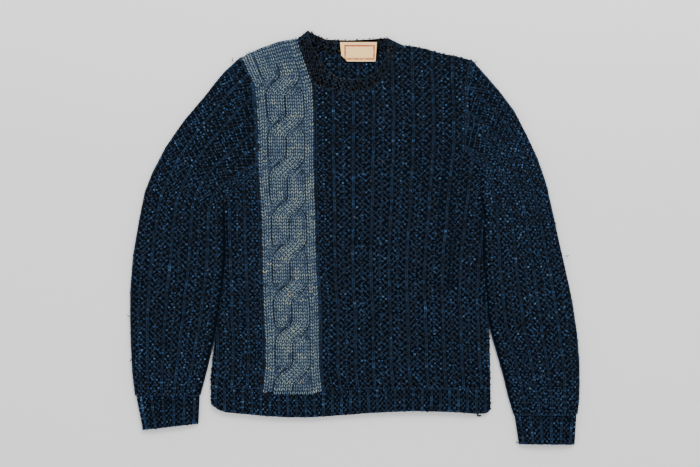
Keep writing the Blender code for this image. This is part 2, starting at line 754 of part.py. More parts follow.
def neckband(material, collection):
    """A ring sewn to the neckline: its upper run in front, its lower run at the back."""
    neckline, shoulder = front_top()
    front_seam = [NECK_RIGHT] + neckline
    marks = lengths(front_seam)
    stops = [0.0]
    for start, end in zip(marks, marks[1:]):
        count = max(1, round((end - start) / (NECK_RIB / 2)))
        stops += [start + (end - start) * (step + 1) / count for step in range(count)]
    rear_seam = back_seam()[::-1]
    rear_marks = lengths(rear_seam)
    rear_stops = subdivided(rear_marks, ROW_STEP)[1:-1]
    free_front, free_rear = list(FRONT_FREE), list(BACK_FREE[::-1])

    def station(seam, free, distance, width):
        share = distance / lengths(seam)[-1]
        return between(along(seam, distance), along(free, share * lengths(free)[-1]), width)

    outer, inner = [], []
    gap = SEAM_GAP / math.dist(NECK_RIGHT, NECK_RIGHT_PEAK)
    for width in (gap,) + BAND_ROWS[1:]:
        outside, inside = [], []
        drop = OPEN_EDGE_DROP * (width == 1)
        for index, stop in enumerate(stops):
            x, y = station(front_seam, free_front, stop, width)
            if index in (0, len(stops) - 1):
                into = rear_marks[-1] - WALL if index == 0 else WALL
                outside.append((x, y, FOLD_LEVEL))
                inside.append((*station(rear_seam, free_rear, into, width), FOLD_LEVEL))
                continue
            near = min(stop, marks[-1] - stop)
            shift = WALL * max(0.0, 1 - near / (3 * WALL))
            u, v = station(front_seam, free_front, stop + (shift if stop < marks[-1] / 2 else -shift), width)
            relief = BAND_RISE * (index % 2)
            outside.append((x, y, UPPER_FLOOR + (WALL + relief + lift(x, y)) * roll(x, y) - drop))
            inside.append((u, v, upper_inside(u, v)))
        for stop in rear_stops:
            x, y = station(rear_seam, free_rear, stop, width)
            outside.append((x, y, tube_underside(x, y)))
            inside.append((x, y, WALL))
        outer.append(outside)
        inner.append(inside)
    cloth("neckband", outer, inner, material, collection, ring=True)


def label(material, collection):
    """A small woven patch on the inside of the back, one corner turned under."""
    curve = bpy.data.curves.new("label", "CURVE")
    curve.dimensions = "2D"
    curve.fill_mode = "BOTH"
    curve.extrude = LABEL_THICKNESS / 2
    spline = curve.splines.new("POLY")
    spline.points.add(len(LABEL) - 1)
    for point, (x, y) in zip(spline.points, LABEL):
        point.co = (x, y, 0, 1)
    spline.use_cyclic_u = True
    curve.materials.append(material)
    obj = bpy.data.objects.new("label", curve)
    obj.location = (-CENTRE[0], -CENTRE[1], WALL + LAYER_GAP + LABEL_THICKNESS / 2)
    collection.objects.link(obj)


def main():
    clear_scene()
    collection = bpy.data.collections.new("darned_sweater")
    bpy.context.scene.collection.children.link(collection)
    back(finish("navy broad rib, back", YARN_NAVY, 0.9), collection)
    hem_back(finish("navy band rib, back", YARN_NAVY, 0.9), collection)
    front_main(finish("navy broad rib, front", YARN_NAVY, 0.9), collection)
    front_side(finish("navy broad rib, side", YARN_NAVY, 0.9), collection)
    cable_panel(finish("marled cable knit", YARN_MARL, 0.92), collection)
    hem_front(finish("navy band rib, front", YARN_NAVY, 0.9), collection)
    navy = {name: finish("navy rib, " + name, YARN_NAVY, 0.9) for name in ("sleeves", "cuffs")}
    sleeve("sleeve_right", RIGHT_SLEEVE, RIGHT_SIDE, RIGHT_ARMHOLE, navy["sleeves"], collection)
    sleeve("sleeve_left", LEFT_SLEEVE, LEFT_SIDE, LEFT_ARMHOLE, navy["sleeves"].copy(), collection)
    cuff("cuff_right", RIGHT_SLEEVE[-1], RIGHT_CUFF_END, navy["cuffs"], collection)
    cuff("cuff_left", LEFT_SLEEVE[-1], LEFT_CUFF_END, navy["cuffs"].copy(), collection)
    neckband(finish("worn neckband rib", YARN_WORN, 0.93), collection)
    label(finish("cream woven label", WOVEN_CREAM, 0.7), collection)


main()
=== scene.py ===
import math

import bmesh
import bpy
import numpy as np
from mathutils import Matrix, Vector
from mathutils.bvhtree import BVHTree


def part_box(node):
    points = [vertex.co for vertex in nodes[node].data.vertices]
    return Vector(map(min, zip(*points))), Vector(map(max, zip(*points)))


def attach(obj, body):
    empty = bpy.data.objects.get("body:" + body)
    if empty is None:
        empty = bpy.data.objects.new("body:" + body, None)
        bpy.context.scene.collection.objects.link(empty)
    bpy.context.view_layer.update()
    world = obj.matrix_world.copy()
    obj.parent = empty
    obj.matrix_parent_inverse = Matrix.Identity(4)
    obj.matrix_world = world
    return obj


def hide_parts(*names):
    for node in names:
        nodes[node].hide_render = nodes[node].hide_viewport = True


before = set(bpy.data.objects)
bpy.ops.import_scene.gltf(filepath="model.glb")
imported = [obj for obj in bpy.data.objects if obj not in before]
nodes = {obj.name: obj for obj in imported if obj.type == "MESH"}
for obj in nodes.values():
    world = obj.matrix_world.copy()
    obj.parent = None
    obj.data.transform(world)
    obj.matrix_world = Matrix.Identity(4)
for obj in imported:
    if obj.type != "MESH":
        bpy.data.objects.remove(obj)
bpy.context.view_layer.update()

scene = bpy.context.scene
rng = np.random.default_rng(11)

# The photo's camera looks straight down
cameraView = {
    "pictureWidth": 1.225,  # what the picture's width covers at the garment's outline, in metres
    "outlineHeight": 0.004,
    "distance": 2.5,
    "over": (-0.0086, 0.0069),
    "sensor": 36.0,
}

cameraData = bpy.data.cameras.new("camera")
cameraData.sensor_width = cameraView["sensor"]
cameraData.lens = cameraView["sensor"] * cameraView["distance"] / cameraView["pictureWidth"]
cameraData.clip_end = 20
camera = bpy.data.objects.new("camera", cameraData)
camera.location = (*cameraView["over"], cameraView["distance"] + cameraView["outlineHeight"])
scene.collection.objects.link(camera)
scene.camera = camera
print("camera set")


# Small helpers

def linear(hexColour):
    # "#rrggbb" as the display shows it, turned to linear light
    channels = [int(hexColour[i : i + 2], 16) / 255 for i in (1, 3, 5)]
    return tuple(c / 12.92 if c <= 0.04045 else ((c + 0.055) / 1.055) ** 2.4 for c in channels) + (1.0,)


def addNode(tree, kind, inputs=None, **settings):
    # a node with its settings, its values and its links: an input may be a value or another node's output
    made = tree.nodes.new(kind)
    for name, value in settings.items():
        setattr(made, name, value)
    for socket, value in (inputs or {}).items():
        if isinstance(value, bpy.types.NodeSocket):
            tree.links.new(value, made.inputs[socket])
        else:
            made.inputs[socket].default_value = value
    return made


def newMaterial(name, surface):
    # surface: the shader's own values, by socket
    material = bpy.data.materials.new(name)
    material.use_nodes = True
    shader = material.node_tree.nodes["Principled BSDF"]
    for socket, value in surface.items():
        shader.inputs[socket].default_value = value
    return material, material.node_tree, shader


def fillRamp(ramp, rows):
    stops = ramp.color_ramp.elements
    for i, (position, colour) in enumerate(rows):
        stop = stops[i] if i < 2 else stops.new(position)
        stop.position = position
        stop.color = linear(colour)


def meshObject(name, vertices, faces, uvs=None):
    mesh = bpy.data.meshes.new(name)
    mesh.from_pydata([tuple(v) for v in vertices], [], faces)
    if uvs is not None:
        layer = mesh.uv_layers.new(name="strand")
        layer.data.foreach_set("uv", np.array(uvs, dtype=np.float32).ravel())
    mesh.shade_smooth()
    made = bpy.data.objects.new(name, mesh)
    scene.collection.objects.link(made)
    return made


def strand(path, across, up, sides=4, turn=0.0):
    # a closed tapered tube along a path; its cross-section measures across (in plan) and up, and its ends are points
    path = np.array(path, dtype=float)
    vertices, faces, uvs = [tuple(path[0])], [], []
    rings = len(path) - 2
    for i in range(1, len(path) - 1):
        direction = path[i + 1] - path[i - 1]
        flat = np.array((direction[1], -direction[0], 0.0))
        flat /= max(np.linalg.norm(flat), 1e-9)
        for k in range(sides):
            angle = 2 * math.pi * k / sides + turn
            offset = flat * math.cos(angle) * across + np.array((0, 0, math.sin(angle) * up))
            vertices.append(tuple(path[i] + offset))
    vertices.append(tuple(path[-1]))
    last = len(vertices) - 1
    for k in range(sides):
        n = (k + 1) % sides
        a, b = k / sides, (k + 1) / sides
        faces.append((0, 1 + k, 1 + n))
        uvs += [(0, a), (1 / (rings + 1), a), (1 / (rings + 1), b)]
        for r in range(rings - 1):
            low, high = 1 + r * sides, 1 + (r + 1) * sides
            faces.append((low + k, high + k, high + n, low + n))
            s, t = (r + 1) / (rings + 1), (r + 2) / (rings + 1)
            uvs += [(s, a), (t, a), (t, b), (s, b)]
        faces.append((last, last - sides + n, last - sides + k))
        uvs += [(1, b), (rings / (rings + 1), b), (rings / (rings + 1), a)]
    return vertices, faces, uvs


def joined(parts):
    vertices, faces, uvs = [], [], []
    for v, f, u in parts:
        base = len(vertices)
        vertices += v
        faces += [tuple(i + base for i in face) for face in f]
        uvs += u
    return vertices, faces, uvs


# How the pieces lie, in metres as on the pattern drawing, whose middle is this far from the origin

drawingShift = (0.0009, 0.00215)

layout = {
    "strip": (  # level, edge at the wearer's right, edge at the wearer's left
        (-0.2720, -0.1635, -0.0572), (-0.2634, -0.1612, -0.0588), (-0.2274, -0.1572, -0.0625),
        (-0.1794, -0.1570, -0.0634), (-0.1314, -0.1600, -0.0637), (-0.0474, -0.1624, -0.0681),
        (0.0366, -0.1638, -0.0702), (0.1206, -0.1698, -0.0725), (0.1686, -0.1705, -0.0725),
        (0.2166, -0.1722, -0.0728), (0.2646, -0.1766, -0.0748),
    ),
    "rightShoulder": (
        (-0.2002, 0.3119), (-0.1880, 0.3202), (-0.1740, 0.3259), (-0.1600, 0.3320), (-0.1460, 0.3359),
        (-0.1320, 0.3416), (-0.1180, 0.3444), (-0.1017, 0.3456),
    ),
    "hemEdge": (
        (-0.2520, -0.2930), (-0.2400, -0.3020), (-0.2260, -0.3070), (-0.1650, -0.3128), (-0.1180, -0.3158),
        (-0.0740, -0.3155), (0.0270, -0.3080), (0.1010, -0.3048), (0.1710, -0.3066), (0.2130, -0.3094),
        (0.2280, -0.3088), (0.2360, -0.3020),
    ),
    "hemSeam": -0.265,
    "frontSeam": (
        (-0.1017, 0.3456), (-0.0748, 0.2646), (-0.0541, 0.2581), (-0.0322, 0.2506), (-0.0112, 0.2492),
        (0.0081, 0.2518), (0.0266, 0.2581), (0.0459, 0.2711), (0.0588, 0.2944), (0.0651, 0.3159), (0.0774, 0.3346),
    ),
    "frontFree": (
        (-0.0838, 0.3593), (-0.0780, 0.3340), (-0.0707, 0.3206), (-0.0607, 0.3031), (-0.0462, 0.2870),
        (-0.0322, 0.2765), (-0.0100, 0.2725), (0.0163, 0.2740), (0.0336, 0.2825), (0.0448, 0.2979),
        (0.0553, 0.3136), (0.0570, 0.3469),
    ),
    "backSeam": ((-0.1017, 0.3456), (-0.0600, 0.3210), (-0.0095, 0.3153), (0.0400, 0.3200), (0.0774, 0.3346)),
    "backFree": ((-0.0838, 0.3593), (-0.0532, 0.3442), (-0.0095, 0.3425), (0.0300, 0.3448), (0.0570, 0.3469)),
}

sleeveLayout = {
    "sleeve_right": {
        "waleEnds": (
            (-0.2002, 0.3119), (-0.1790, 0.2909), (-0.1755, 0.2470), (-0.1710, 0.1840), (-0.1698, 0.1264),
            (-0.2310, 0.0650),
        ),
        "rings": (  # outer x, outer y, inner x, inner y, share of the armhole's curve
            (-0.2002, 0.3119, -0.2310, 0.0650, 1.00), (-0.2300, 0.2845, -0.2309, 0.0635, 0.72),
            (-0.2632, 0.2427, -0.2307, 0.0620, 0.47), (-0.2982, 0.2016, -0.2306, 0.0605, 0.27),
            (-0.3304, 0.1552, -0.2305, 0.0590, 0.13), (-0.3520, 0.1141, -0.2297, 0.0520, 0.05),
            (-0.3668, 0.0774, -0.2280, 0.0360, 0.00), (-0.3772, 0.0249, -0.2265, 0.0110, 0.00),
            (-0.3873, -0.0347, -0.2265, -0.0430, 0.00), (-0.3922, -0.0977, -0.2350, -0.1080, 0.00),
            (-0.3924, -0.1467, -0.2405, -0.1480, 0.00), (-0.3910, -0.1904, -0.2501, -0.1904, 0.00),
            (-0.3888, -0.2377, -0.2615, -0.2359, 0.00), (-0.3840, -0.2779, -0.2723, -0.2779, 0.00),
        ),
        "cuffEnd": ((-0.3722, -0.3380), (-0.2745, -0.3270)),
    },
    "sleeve_left": {
        "waleEnds": (
            (0.2023, 0.3075), (0.1935, 0.2646), (0.1940, 0.2166), (0.1935, 0.1926), (0.1890, 0.1566),
            (0.2215, 0.1206),
        ),
        "rings": (
            (0.2023, 0.3075, 0.2215, 0.1206, 1.00), (0.2286, 0.2777, 0.2216, 0.1191, 0.72),
            (0.2513, 0.2518, 0.2216, 0.1176, 0.47), (0.2758, 0.2191, 0.2217, 0.1161, 0.27),
            (0.2986, 0.1754, 0.2217, 0.1146, 0.13), (0.3178, 0.1334, 0.2225, 0.0930, 0.05),
            (0.3327, 0.0896, 0.2190, 0.0650, 0.00), (0.3423, 0.0476, 0.2250, 0.0360, 0.00),
            (0.3528, -0.0014, 0.2225, 0.0110, 0.00), (0.3659, -0.0592, 0.2222, -0.0430, 0.00),
            (0.3773, -0.1117, 0.2287, -0.1080, 0.00), (0.3861, -0.1712, 0.2325, -0.1480, 0.00),
            (0.3902, -0.2170, 0.2435, -0.1869, 0.00), (0.3906, -0.2590, 0.2601, -0.2447, 0.00),
            (0.3895, -0.2880, 0.2684, -0.2800, 0.00), (0.3868, -0.3120, 0.2781, -0.3120, 0.00),
        ),
        "cuffEnd": ((0.3836, -0.3636), (0.2858, -0.3630)),
    },
}


def stripEdges(level):
    levels = [row[0] for row in layout["strip"]]
    return tuple(np.interp(level, levels, [row[i] for row in layout["strip"]]) for i in (1, 2))


def between(a, b, share):
    return (a[0] + (b[0] - a[0]) * share, a[1] + (b[1] - a[1]) * share)


def marksAlong(line):
    return np.concatenate([[0], np.cumsum(np.linalg.norm(np.diff(line, axis=0), axis=1))])


def pointAlong(line, share):
    line = np.array(line)
    marks = marksAlong(line)
    return tuple(np.interp(share * marks[-1], marks, line[:, i]) for i in (0, 1))


def lineLength(line):
    return float(np.linalg.norm(np.diff(np.array(line), axis=0), axis=1).sum())


def walk(line, step, start=0.5):
    # even steps along a line: yields the step's number, its place and the direction of the line there
    line = np.array(line)
    marks = marksAlong(line)
    for number, distance in enumerate(np.arange(start * step, marks[-1], step)):
        here, ahead, behind = (
            np.array([np.interp(d, marks, line[:, i]) for i in range(line.shape[1])])
            for d in (distance, min(distance + step, marks[-1]), max(distance - step, 0))
        )
        direction = ahead - behind
        yield number, here, direction / max(np.linalg.norm(direction), 1e-9)


# Yarns: dyed wool, spun soft and loosely plied, so it is matte with a faint halo of fibres

yarnColours = {
    # navy heather: near black in the gaps, blue where the light catches a loop, a few pale fibres
    "navy": {
        "yarn": "navy wool yarn, plied",
        "cloth": "navy wool knit, ground",
        "speckle": (900.0, 0.22),  # fibres to a metre, and how much they vary the tone
        "gauge": (0.0042, 0.0046),  # one stitch of the knit drawn flat
        "ramp": (
            (0.0, "#03070c"), (0.30, "#0a182a"), (0.55, "#122942"),
            (0.78, "#203f60"), (0.92, "#30557d"), (1.0, "#4b7093")
        ),
        # the ground: painted shade, the dark of the gaps between the loops (so in each yarn)
        "ground": "#060d16",
        "sheen": 0.038,
        # how dark a loop's ends are painted: painted shade where it dives (so in each yarn)
        "paintedDiveShade": 0.30,
    },
    # the mend: a grey-blue and beige marl
    "marl": {
        "yarn": "marl wool yarn, speckled",
        "cloth": "marl wool knit, fine ground",
        "speckle": (420.0, 0.80),  # fibres to a metre, and how much they vary the tone
        "gauge": (0.0046, 0.0038),  # one stitch of the knit drawn flat
        "ramp": (
            (0.0, "#070d14"), (0.06, "#34445c"), (0.27, "#4a5d75"), (0.50, "#637686"),
            (0.72, "#7b8a8c"), (0.90, "#90978d"), (1.0, "#a7a794")
        ),
        "ground": "#28374a",
        "sheen": 0.05,
        "paintedDiveShade": 0.52,
    },
    # neckband: the same navy, rubbed and browned by wear
    "worn": {
        "yarn": "worn wool yarn, plied",
        "cloth": "worn wool knit, ground",
        "speckle": (900.0, 0.22),  # fibres to a metre, and how much they vary the tone
        "gauge": (0.0042, 0.0046),  # one stitch of the knit drawn flat
        "ramp": (
            (0.0, "#03060a"), (0.30, "#09131f"), (0.55, "#112133"),
            (0.78, "#1f354d"), (0.90, "#3c3a36"), (1.0, "#5c5140")
        ),
        "ground": "#040507",
        "sheen": 0.038,
        "paintedDiveShade": 0.30,
    },
}


pliesPerLoop = 3.0


def yarnMaterial(colours):
    surface = {"Roughness": 0.88, "IOR": 1.54, "Specular IOR Level": 0.12, "Sheen Roughness": 0.5}
    material, tree, shader = newMaterial(colours["yarn"], {**surface, "Sheen Weight": colours["sheen"]})
    speckle = colours["speckle"]
    tone = addNode(tree, "ShaderNodeAttribute", attribute_name="tone")
    place = addNode(tree, "ShaderNodeTexCoord")
    fibres = addNode(
        tree, "ShaderNodeTexNoise", {"Vector": place.outputs["Object"], "Scale": speckle[0], "Detail": 2.0}
    )
    clouds = addNode(tree, "ShaderNodeTexNoise", {"Vector": place.outputs["Object"], "Scale": 28.0, "Detail": 3.0})
    along = addNode(tree, "ShaderNodeUVMap", uv_map="strand")
    parts = addNode(tree, "ShaderNodeSeparateXYZ", {"Vector": along.outputs["UV"]})
    # two plies wind round each other: a slanted stripe along and around the loop
    turns = {0: parts.outputs["X"], 1: pliesPerLoop, 2: parts.outputs["Y"]}
    wound = addNode(tree, "ShaderNodeMath", turns, operation="MULTIPLY_ADD")
    ply = addNode(tree, "ShaderNodeMath", {0: wound.outputs[0], 1: 0.5}, operation="PINGPONG")
    mixed = tone.outputs["Fac"]
    for source, amount in (
        (fibres.outputs["Fac"], speckle[1]), (clouds.outputs["Fac"], 0.16), (ply.outputs[0], 0.24)
    ):
        mixed = addNode(tree, "ShaderNodeMath", {0: source, 1: amount, 2: mixed}, operation="MULTIPLY_ADD").outputs[0]
    middleTone = 0.14 + speckle[1] / 2
    centred = addNode(tree, "ShaderNodeMath", {0: mixed, 1: middleTone}, operation="SUBTRACT", use_clamp=True)
    ramp = addNode(tree, "ShaderNodeValToRGB", {"Fac": centred.outputs[0]})
    fillRamp(ramp, colours["ramp"])
    # painted shade: a loop is darkened towards its ends, where it dives under its neighbours
    middle = addNode(tree, "ShaderNodeMath", {0: parts.outputs["X"], 1: 0.5}, operation="PINGPONG")
    depth = addNode(
        tree, "ShaderNodeMapRange", {"Value": middle.outputs[0], 1: 0.0, 2: 0.36, 3: colours["paintedDiveShade"], 4: 1.0}
    )
    shaded = addNode(
        tree, "ShaderNodeMix", {"Factor": 1.0, 6: ramp.outputs["Color"], 7: depth.outputs["Result"]},
        data_type="RGBA", blend_type="MULTIPLY"
    )
    bump = addNode(tree, "ShaderNodeBump", {"Height": ply.outputs[0], "Strength": 0.5, "Distance": 0.0006})
    tree.links.new(shaded.outputs[2], shader.inputs["Base Color"])
    tree.links.new(bump.outputs["Normal"], shader.inputs["Normal"])
    return material


def groundMaterial(colours):
    # the body of the cloth behind its loops: its upward faces take the dark ground colour, painted shade for the gaps
    # between the loops, and on the underside the same knit drawn flat
    material, tree, shader = newMaterial(colours["cloth"], {"Roughness": 0.92, "Specular IOR Level": 0.04})
    gauge = colours["gauge"]
    place = addNode(tree, "ShaderNodeTexCoord")
    scaled = addNode(
        tree, "ShaderNodeMapping", {"Vector": place.outputs["Object"], "Scale": (1 / gauge[0], 1 / gauge[1], 1.0)}
    )
    xyz = addNode(tree, "ShaderNodeSeparateXYZ", {"Vector": scaled.outputs["Vector"]})
    half = addNode(tree, "ShaderNodeMath", {0: xyz.outputs["X"], 1: 0.5}, operation="PINGPONG")
    slanted = addNode(
        tree, "ShaderNodeMath", {0: half.outputs[0], 1: -1.1, 2: xyz.outputs["Y"]}, operation="MULTIPLY_ADD"
    )
    leg = addNode(tree, "ShaderNodeMath", {0: slanted.outputs[0], 1: 0.5}, operation="PINGPONG")
    fibres = addNode(tree, "ShaderNodeTexNoise", {"Vector": place.outputs["Object"], "Scale": 420.0, "Detail": 4.0})
    tone = addNode(
        tree, "ShaderNodeMath", {0: leg.outputs[0], 1: 1.1, 2: fibres.outputs["Fac"]}, operation="MULTIPLY_ADD"
    )
    toned = addNode(tree, "ShaderNodeMapRange", {"Value": tone.outputs[0], 1: 0.45, 2: 1.15, 3: 0.0, 4: 0.72})
    ramp = addNode(tree, "ShaderNodeValToRGB", {"Fac": toned.outputs["Result"]})
    fillRamp(ramp, colours["ramp"])
    facing = addNode(tree, "ShaderNodeNewGeometry")
    normal = addNode(tree, "ShaderNodeSeparateXYZ", {"Vector": facing.outputs["Normal"]})
    front = addNode(tree, "ShaderNodeMapRange", {"Value": normal.outputs["Z"], 1: 0.0, 2: 0.5, 3: 0.0, 4: 1.0})
    # painted shade: faces turned up take the ground colour
    mixed = addNode(
        tree, "ShaderNodeMix",
        {"Factor": front.outputs["Result"], 6: ramp.outputs["Color"], 7: linear(colours["ground"])}, data_type="RGBA"
    )
    bump = addNode(tree, "ShaderNodeBump", {"Height": leg.outputs[0], "Strength": 0.6, "Distance": 0.0012})
    tree.links.new(mixed.outputs[2], shader.inputs["Base Color"])
    tree.links.new(bump.outputs["Normal"], shader.inputs["Normal"])
    return material


yarns = {key: yarnMaterial(colours) for key, colours in yarnColours.items()}
grounds = {key: groundMaterial(colours) for key, colours in yarnColours.items()}
print("yarns ready")


# Loops, drawn in a cell one unit wide and high; depth is counted in yarn thicknesses

def loopParts():
    knit, ribKnit = [], []
    for side in (-1, 1):
        path = (
            (0.05 * side, -0.66, -0.5), (0.20 * side, -0.20, 0.42),
            (0.33 * side, 0.26, 0.50), (0.43 * side, 0.70, -0.3)
        )
        knit.append(strand(path, 0.150, 0.50))
        path = (
            (0.12 * side, -0.66, -0.4), (0.26 * side, -0.20, 0.36),
            (0.36 * side, 0.26, 0.40), (0.42 * side, 0.70, -0.3)
        )
        ribKnit.append(strand(path, 0.22, 0.42))
    path = ((0.0, -0.60, -0.35), (0.0, -0.28, 0.26), (0.0, 0.28, 0.26), (0.0, 0.60, -0.35))
    link = strand(path, 0.58, 0.42, sides=3, turn=math.pi / 2)
    path = ((-0.62, -0.20, -0.6), (-0.24, 0.14, 0.62), (0.24, 0.14, 0.62), (0.62, -0.20, -0.6))
    purl = strand(path, 0.27, 0.55)
    path = ((-0.31, -0.10, -0.5), (-0.13, 0.05, 0.66), (0.13, 0.05, 0.66), (0.31, -0.10, -0.5))
    bump = strand(path, 0.33, 0.50)
    fibre = strand(((0, 0, 0), (0.35, 0.3, 0.7), (1.0, 0.2, 1.0)), 0.02, 0.03, sides=3)
    return {
        "knit": joined(knit), "ribKnit": joined(ribKnit), "link": link, "purl": purl, "bump": bump, "fibre": fibre
    }


loopKinds = ("knit", "ribKnit", "link", "purl", "bump", "fibre")
loops = {kind: meshObject("loop_" + kind, *parts) for kind, parts in loopParts().items()}


def loopTree():
    # one loop on every point of a mesh, turned to the cloth and to its wale
    tree = bpy.data.node_groups.new("loops on wales", "GeometryNodeTree")
    tree.interface.new_socket(name="Wales", in_out="INPUT", socket_type="NodeSocketGeometry")
    for kind in loopKinds:
        tree.interface.new_socket(name=kind, in_out="INPUT", socket_type="NodeSocketObject")
    tree.interface.new_socket(name="Unevenness", in_out="INPUT", socket_type="NodeSocketFloat")
    tree.interface.new_socket(name="Yarn", in_out="INPUT", socket_type="NodeSocketMaterial")
    tree.interface.new_socket(name="Cloth", in_out="OUTPUT", socket_type="NodeSocketGeometry")
    given = addNode(tree, "NodeGroupInput")
    vector = {
        name: addNode(tree, "GeometryNodeInputNamedAttribute", {"Name": name}, data_type="FLOAT_VECTOR")
        for name in ("outward", "waleDirection", "loopSize")
    }
    kindOf = addNode(tree, "GeometryNodeInputNamedAttribute", {"Name": "kind"}, data_type="INT")
    turned = addNode(
        tree,
        "FunctionNodeAxesToRotation",
        {
            "Primary Axis": vector["outward"].outputs["Attribute"],
            "Secondary Axis": vector["waleDirection"].outputs["Attribute"]
        },
        primary_axis="Z",
        secondary_axis="Y",
    )
    less = addNode(tree, "ShaderNodeMath", {0: given.outputs["Unevenness"], 1: -1.0}, operation="MULTIPLY")
    tilt = addNode(
        tree, "FunctionNodeRandomValue",
        {0: less.outputs[0], 1: given.outputs["Unevenness"], "Seed": 5}, data_type="FLOAT_VECTOR"
    )
    euler = addNode(tree, "FunctionNodeEulerToRotation", {0: tilt.outputs[0]})
    uneven = addNode(
        tree, "FunctionNodeRotateRotation", {0: turned.outputs[0], 1: euler.outputs[0]}, rotation_space="LOCAL"
    )
    swell = addNode(tree, "FunctionNodeRandomValue", {2: 0.88, 3: 1.12, "Seed": 9}, data_type="FLOAT")
    size = addNode(
        tree, "ShaderNodeVectorMath",
        {0: vector["loopSize"].outputs["Attribute"], "Scale": swell.outputs[1]}, operation="SCALE"
    )
    together = addNode(tree, "GeometryNodeJoinGeometry")
    for number, kind in enumerate(loopKinds):
        isKind = addNode(
            tree, "FunctionNodeCompare", {2: kindOf.outputs["Attribute"], 3: number},
            data_type="INT", operation="EQUAL"
        )
        shape = addNode(tree, "GeometryNodeObjectInfo", {"Object": given.outputs[kind]})
        placed = addNode(
            tree,
            "GeometryNodeInstanceOnPoints",
            {
                "Points": given.outputs["Wales"],
                "Selection": isKind.outputs[0],
                "Instance": shape.outputs["Geometry"],
                "Rotation": uneven.outputs[0],
                "Scale": size.outputs[0],
            },
        )
        tree.links.new(placed.outputs[0], together.inputs[0])
    real = addNode(tree, "GeometryNodeRealizeInstances", {0: together.outputs[0]})
    finished = addNode(
        tree, "GeometryNodeSetMaterial", {"Geometry": real.outputs[0], "Material": given.outputs["Yarn"]}
    )
    addNode(tree, "NodeGroupOutput", {0: finished.outputs[0]})
    return tree


loopsOnWales = loopTree()


def settled(name, points, yarn, unevenness=0.10):
    # points: rows of place, outward, wale direction, loop size, kind and tone
    mesh = bpy.data.meshes.new(name)
    count = len(points["place"])
    mesh.vertices.add(count)
    mesh.vertices.foreach_set("co", np.array(points["place"], dtype=np.float32).ravel())
    for attribute in ("outward", "waleDirection", "loopSize"):
        layer = mesh.attributes.new(attribute, "FLOAT_VECTOR", "POINT")
        layer.data.foreach_set("vector", np.array(points[attribute], dtype=np.float32).ravel())
    mesh.attributes.new("kind", "INT", "POINT").data.foreach_set("value", np.array(points["kind"], dtype=np.int32))
    mesh.attributes.new("tone", "FLOAT", "POINT").data.foreach_set(
        "value", np.array(points["tone"], dtype=np.float32)
    )
    carrier = bpy.data.objects.new(name + "_wales", mesh)
    scene.collection.objects.link(carrier)
    modifier = carrier.modifiers.new("loops", "NODES")
    modifier.node_group = loopsOnWales
    sockets = {item.name: item.identifier for item in loopsOnWales.interface.items_tree if item.in_out == "INPUT"}
    for kind in loopKinds:
        modifier[sockets[kind]] = loops[kind]
    modifier[sockets["Unevenness"]] = unevenness
    modifier[sockets["Yarn"]] = yarn
    graph = bpy.context.evaluated_depsgraph_get()
    result = bpy.data.meshes.new_from_object(
        carrier.evaluated_get(graph), preserve_all_data_layers=True, depsgraph=graph
    )
    for attribute in ("outward", "waleDirection", "loopSize", "kind"):
        if attribute in result.attributes:
            result.attributes.remove(result.attributes[attribute])
    bpy.data.objects.remove(carrier)
    result.name = name
    made = bpy.data.objects.new(name, result)
    scene.collection.objects.link(made)
    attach(made, "root")
    triangles = sum(len(p.vertices) - 2 for p in result.polygons)
    print(f"{name}: {count} loops, {triangles} triangles")
    return made


surfaces = {}
for nodeName, node in nodes.items():
    surfaces[nodeName] = BVHTree.FromPolygons(
        [tuple(v.co) for v in node.data.vertices], [tuple(p.vertices) for p in node.data.polygons]
    )


pointKeys = ("place", "outward", "waleDirection", "loopSize", "kind", "tone")
upward, downward = (0.0, 0.0, 1.0), Vector((0, 0, -1))


def newPoints():
    return {key: [] for key in pointKeys}


def addPoint(points, place, outward, direction, size, kind, tone):
    row = (tuple(place), tuple(outward), tuple(direction), size, loopKinds.index(kind), tone)
    for key, value in zip(pointKeys, row):
        points[key].append(value)


def onGarment(place):
    # from the drawing's place to the garment's
    return place[0] + drawingShift[0], place[1] + drawingShift[1]


def above(nodeName, x, y):
    # the highest point of a node there and its normal, or None twice
    return surfaces[nodeName].ray_cast(Vector((x, y, 0.1)), downward)[:2]


def underLabel(x, y, margin=0.0014):
    x, y = onGarment((x, y))
    beside = ((0, 0), (margin, 0), (-margin, 0), (0, margin), (0, -margin))
    return any(above("label", x + dx, y + dy)[0] is not None for dx, dy in beside)


def sway(x, y):
    # hand-made rows are never quite straight
    dx = 0.0006 * math.sin(31 * y + 9 * x) + 0.0004 * math.sin(83 * y + 40 * x)
    dy = 0.0008 * math.sin(27 * x + 14 * y) + 0.0004 * math.sin(71 * x - 33 * y)
    return dx, dy


def toneOf(base, spread):
    return float(np.clip(rng.normal(base, spread), 0.02, 1.0))


def lay(points, nodeName, place, direction, size, kind, tone, raised=0.0):
    # sets one loop on a node's upper face; nothing is set where the node has none
    dx, dy = sway(*place)
    x, y = place[0] + drawingShift[0] + dx, place[1] + drawingShift[1] + dy
    hit, normal = above(nodeName, x, y)
    if hit is None:
        return
    if normal.z < 0:
        normal = -normal
    normal = (normal + Vector((0, 0, 0.25))).normalized()
    addPoint(points, hit + normal * raised, normal, (direction[0], direction[1], 0.0), size, kind, tone)


def addFibres(points, share, length=0.006):
    # loose fibres stand off the surface
    count = len(points["place"])
    for i in rng.choice(count, int(count * share), replace=False):
        angle = rng.uniform(0, 2 * math.pi)
        direction = (math.cos(angle), math.sin(angle), 0.0)
        long = length * rng.uniform(0.6, 1.3)
        size = (long, long, long * rng.uniform(0.15, 0.5))
        addPoint(points, points["place"][i], points["outward"][i], direction, size, "fibre", rng.uniform(0.4, 0.9))


# Rib stitch: a knit wale, then wales whose bumps alternate, tied by slanting strands like a net

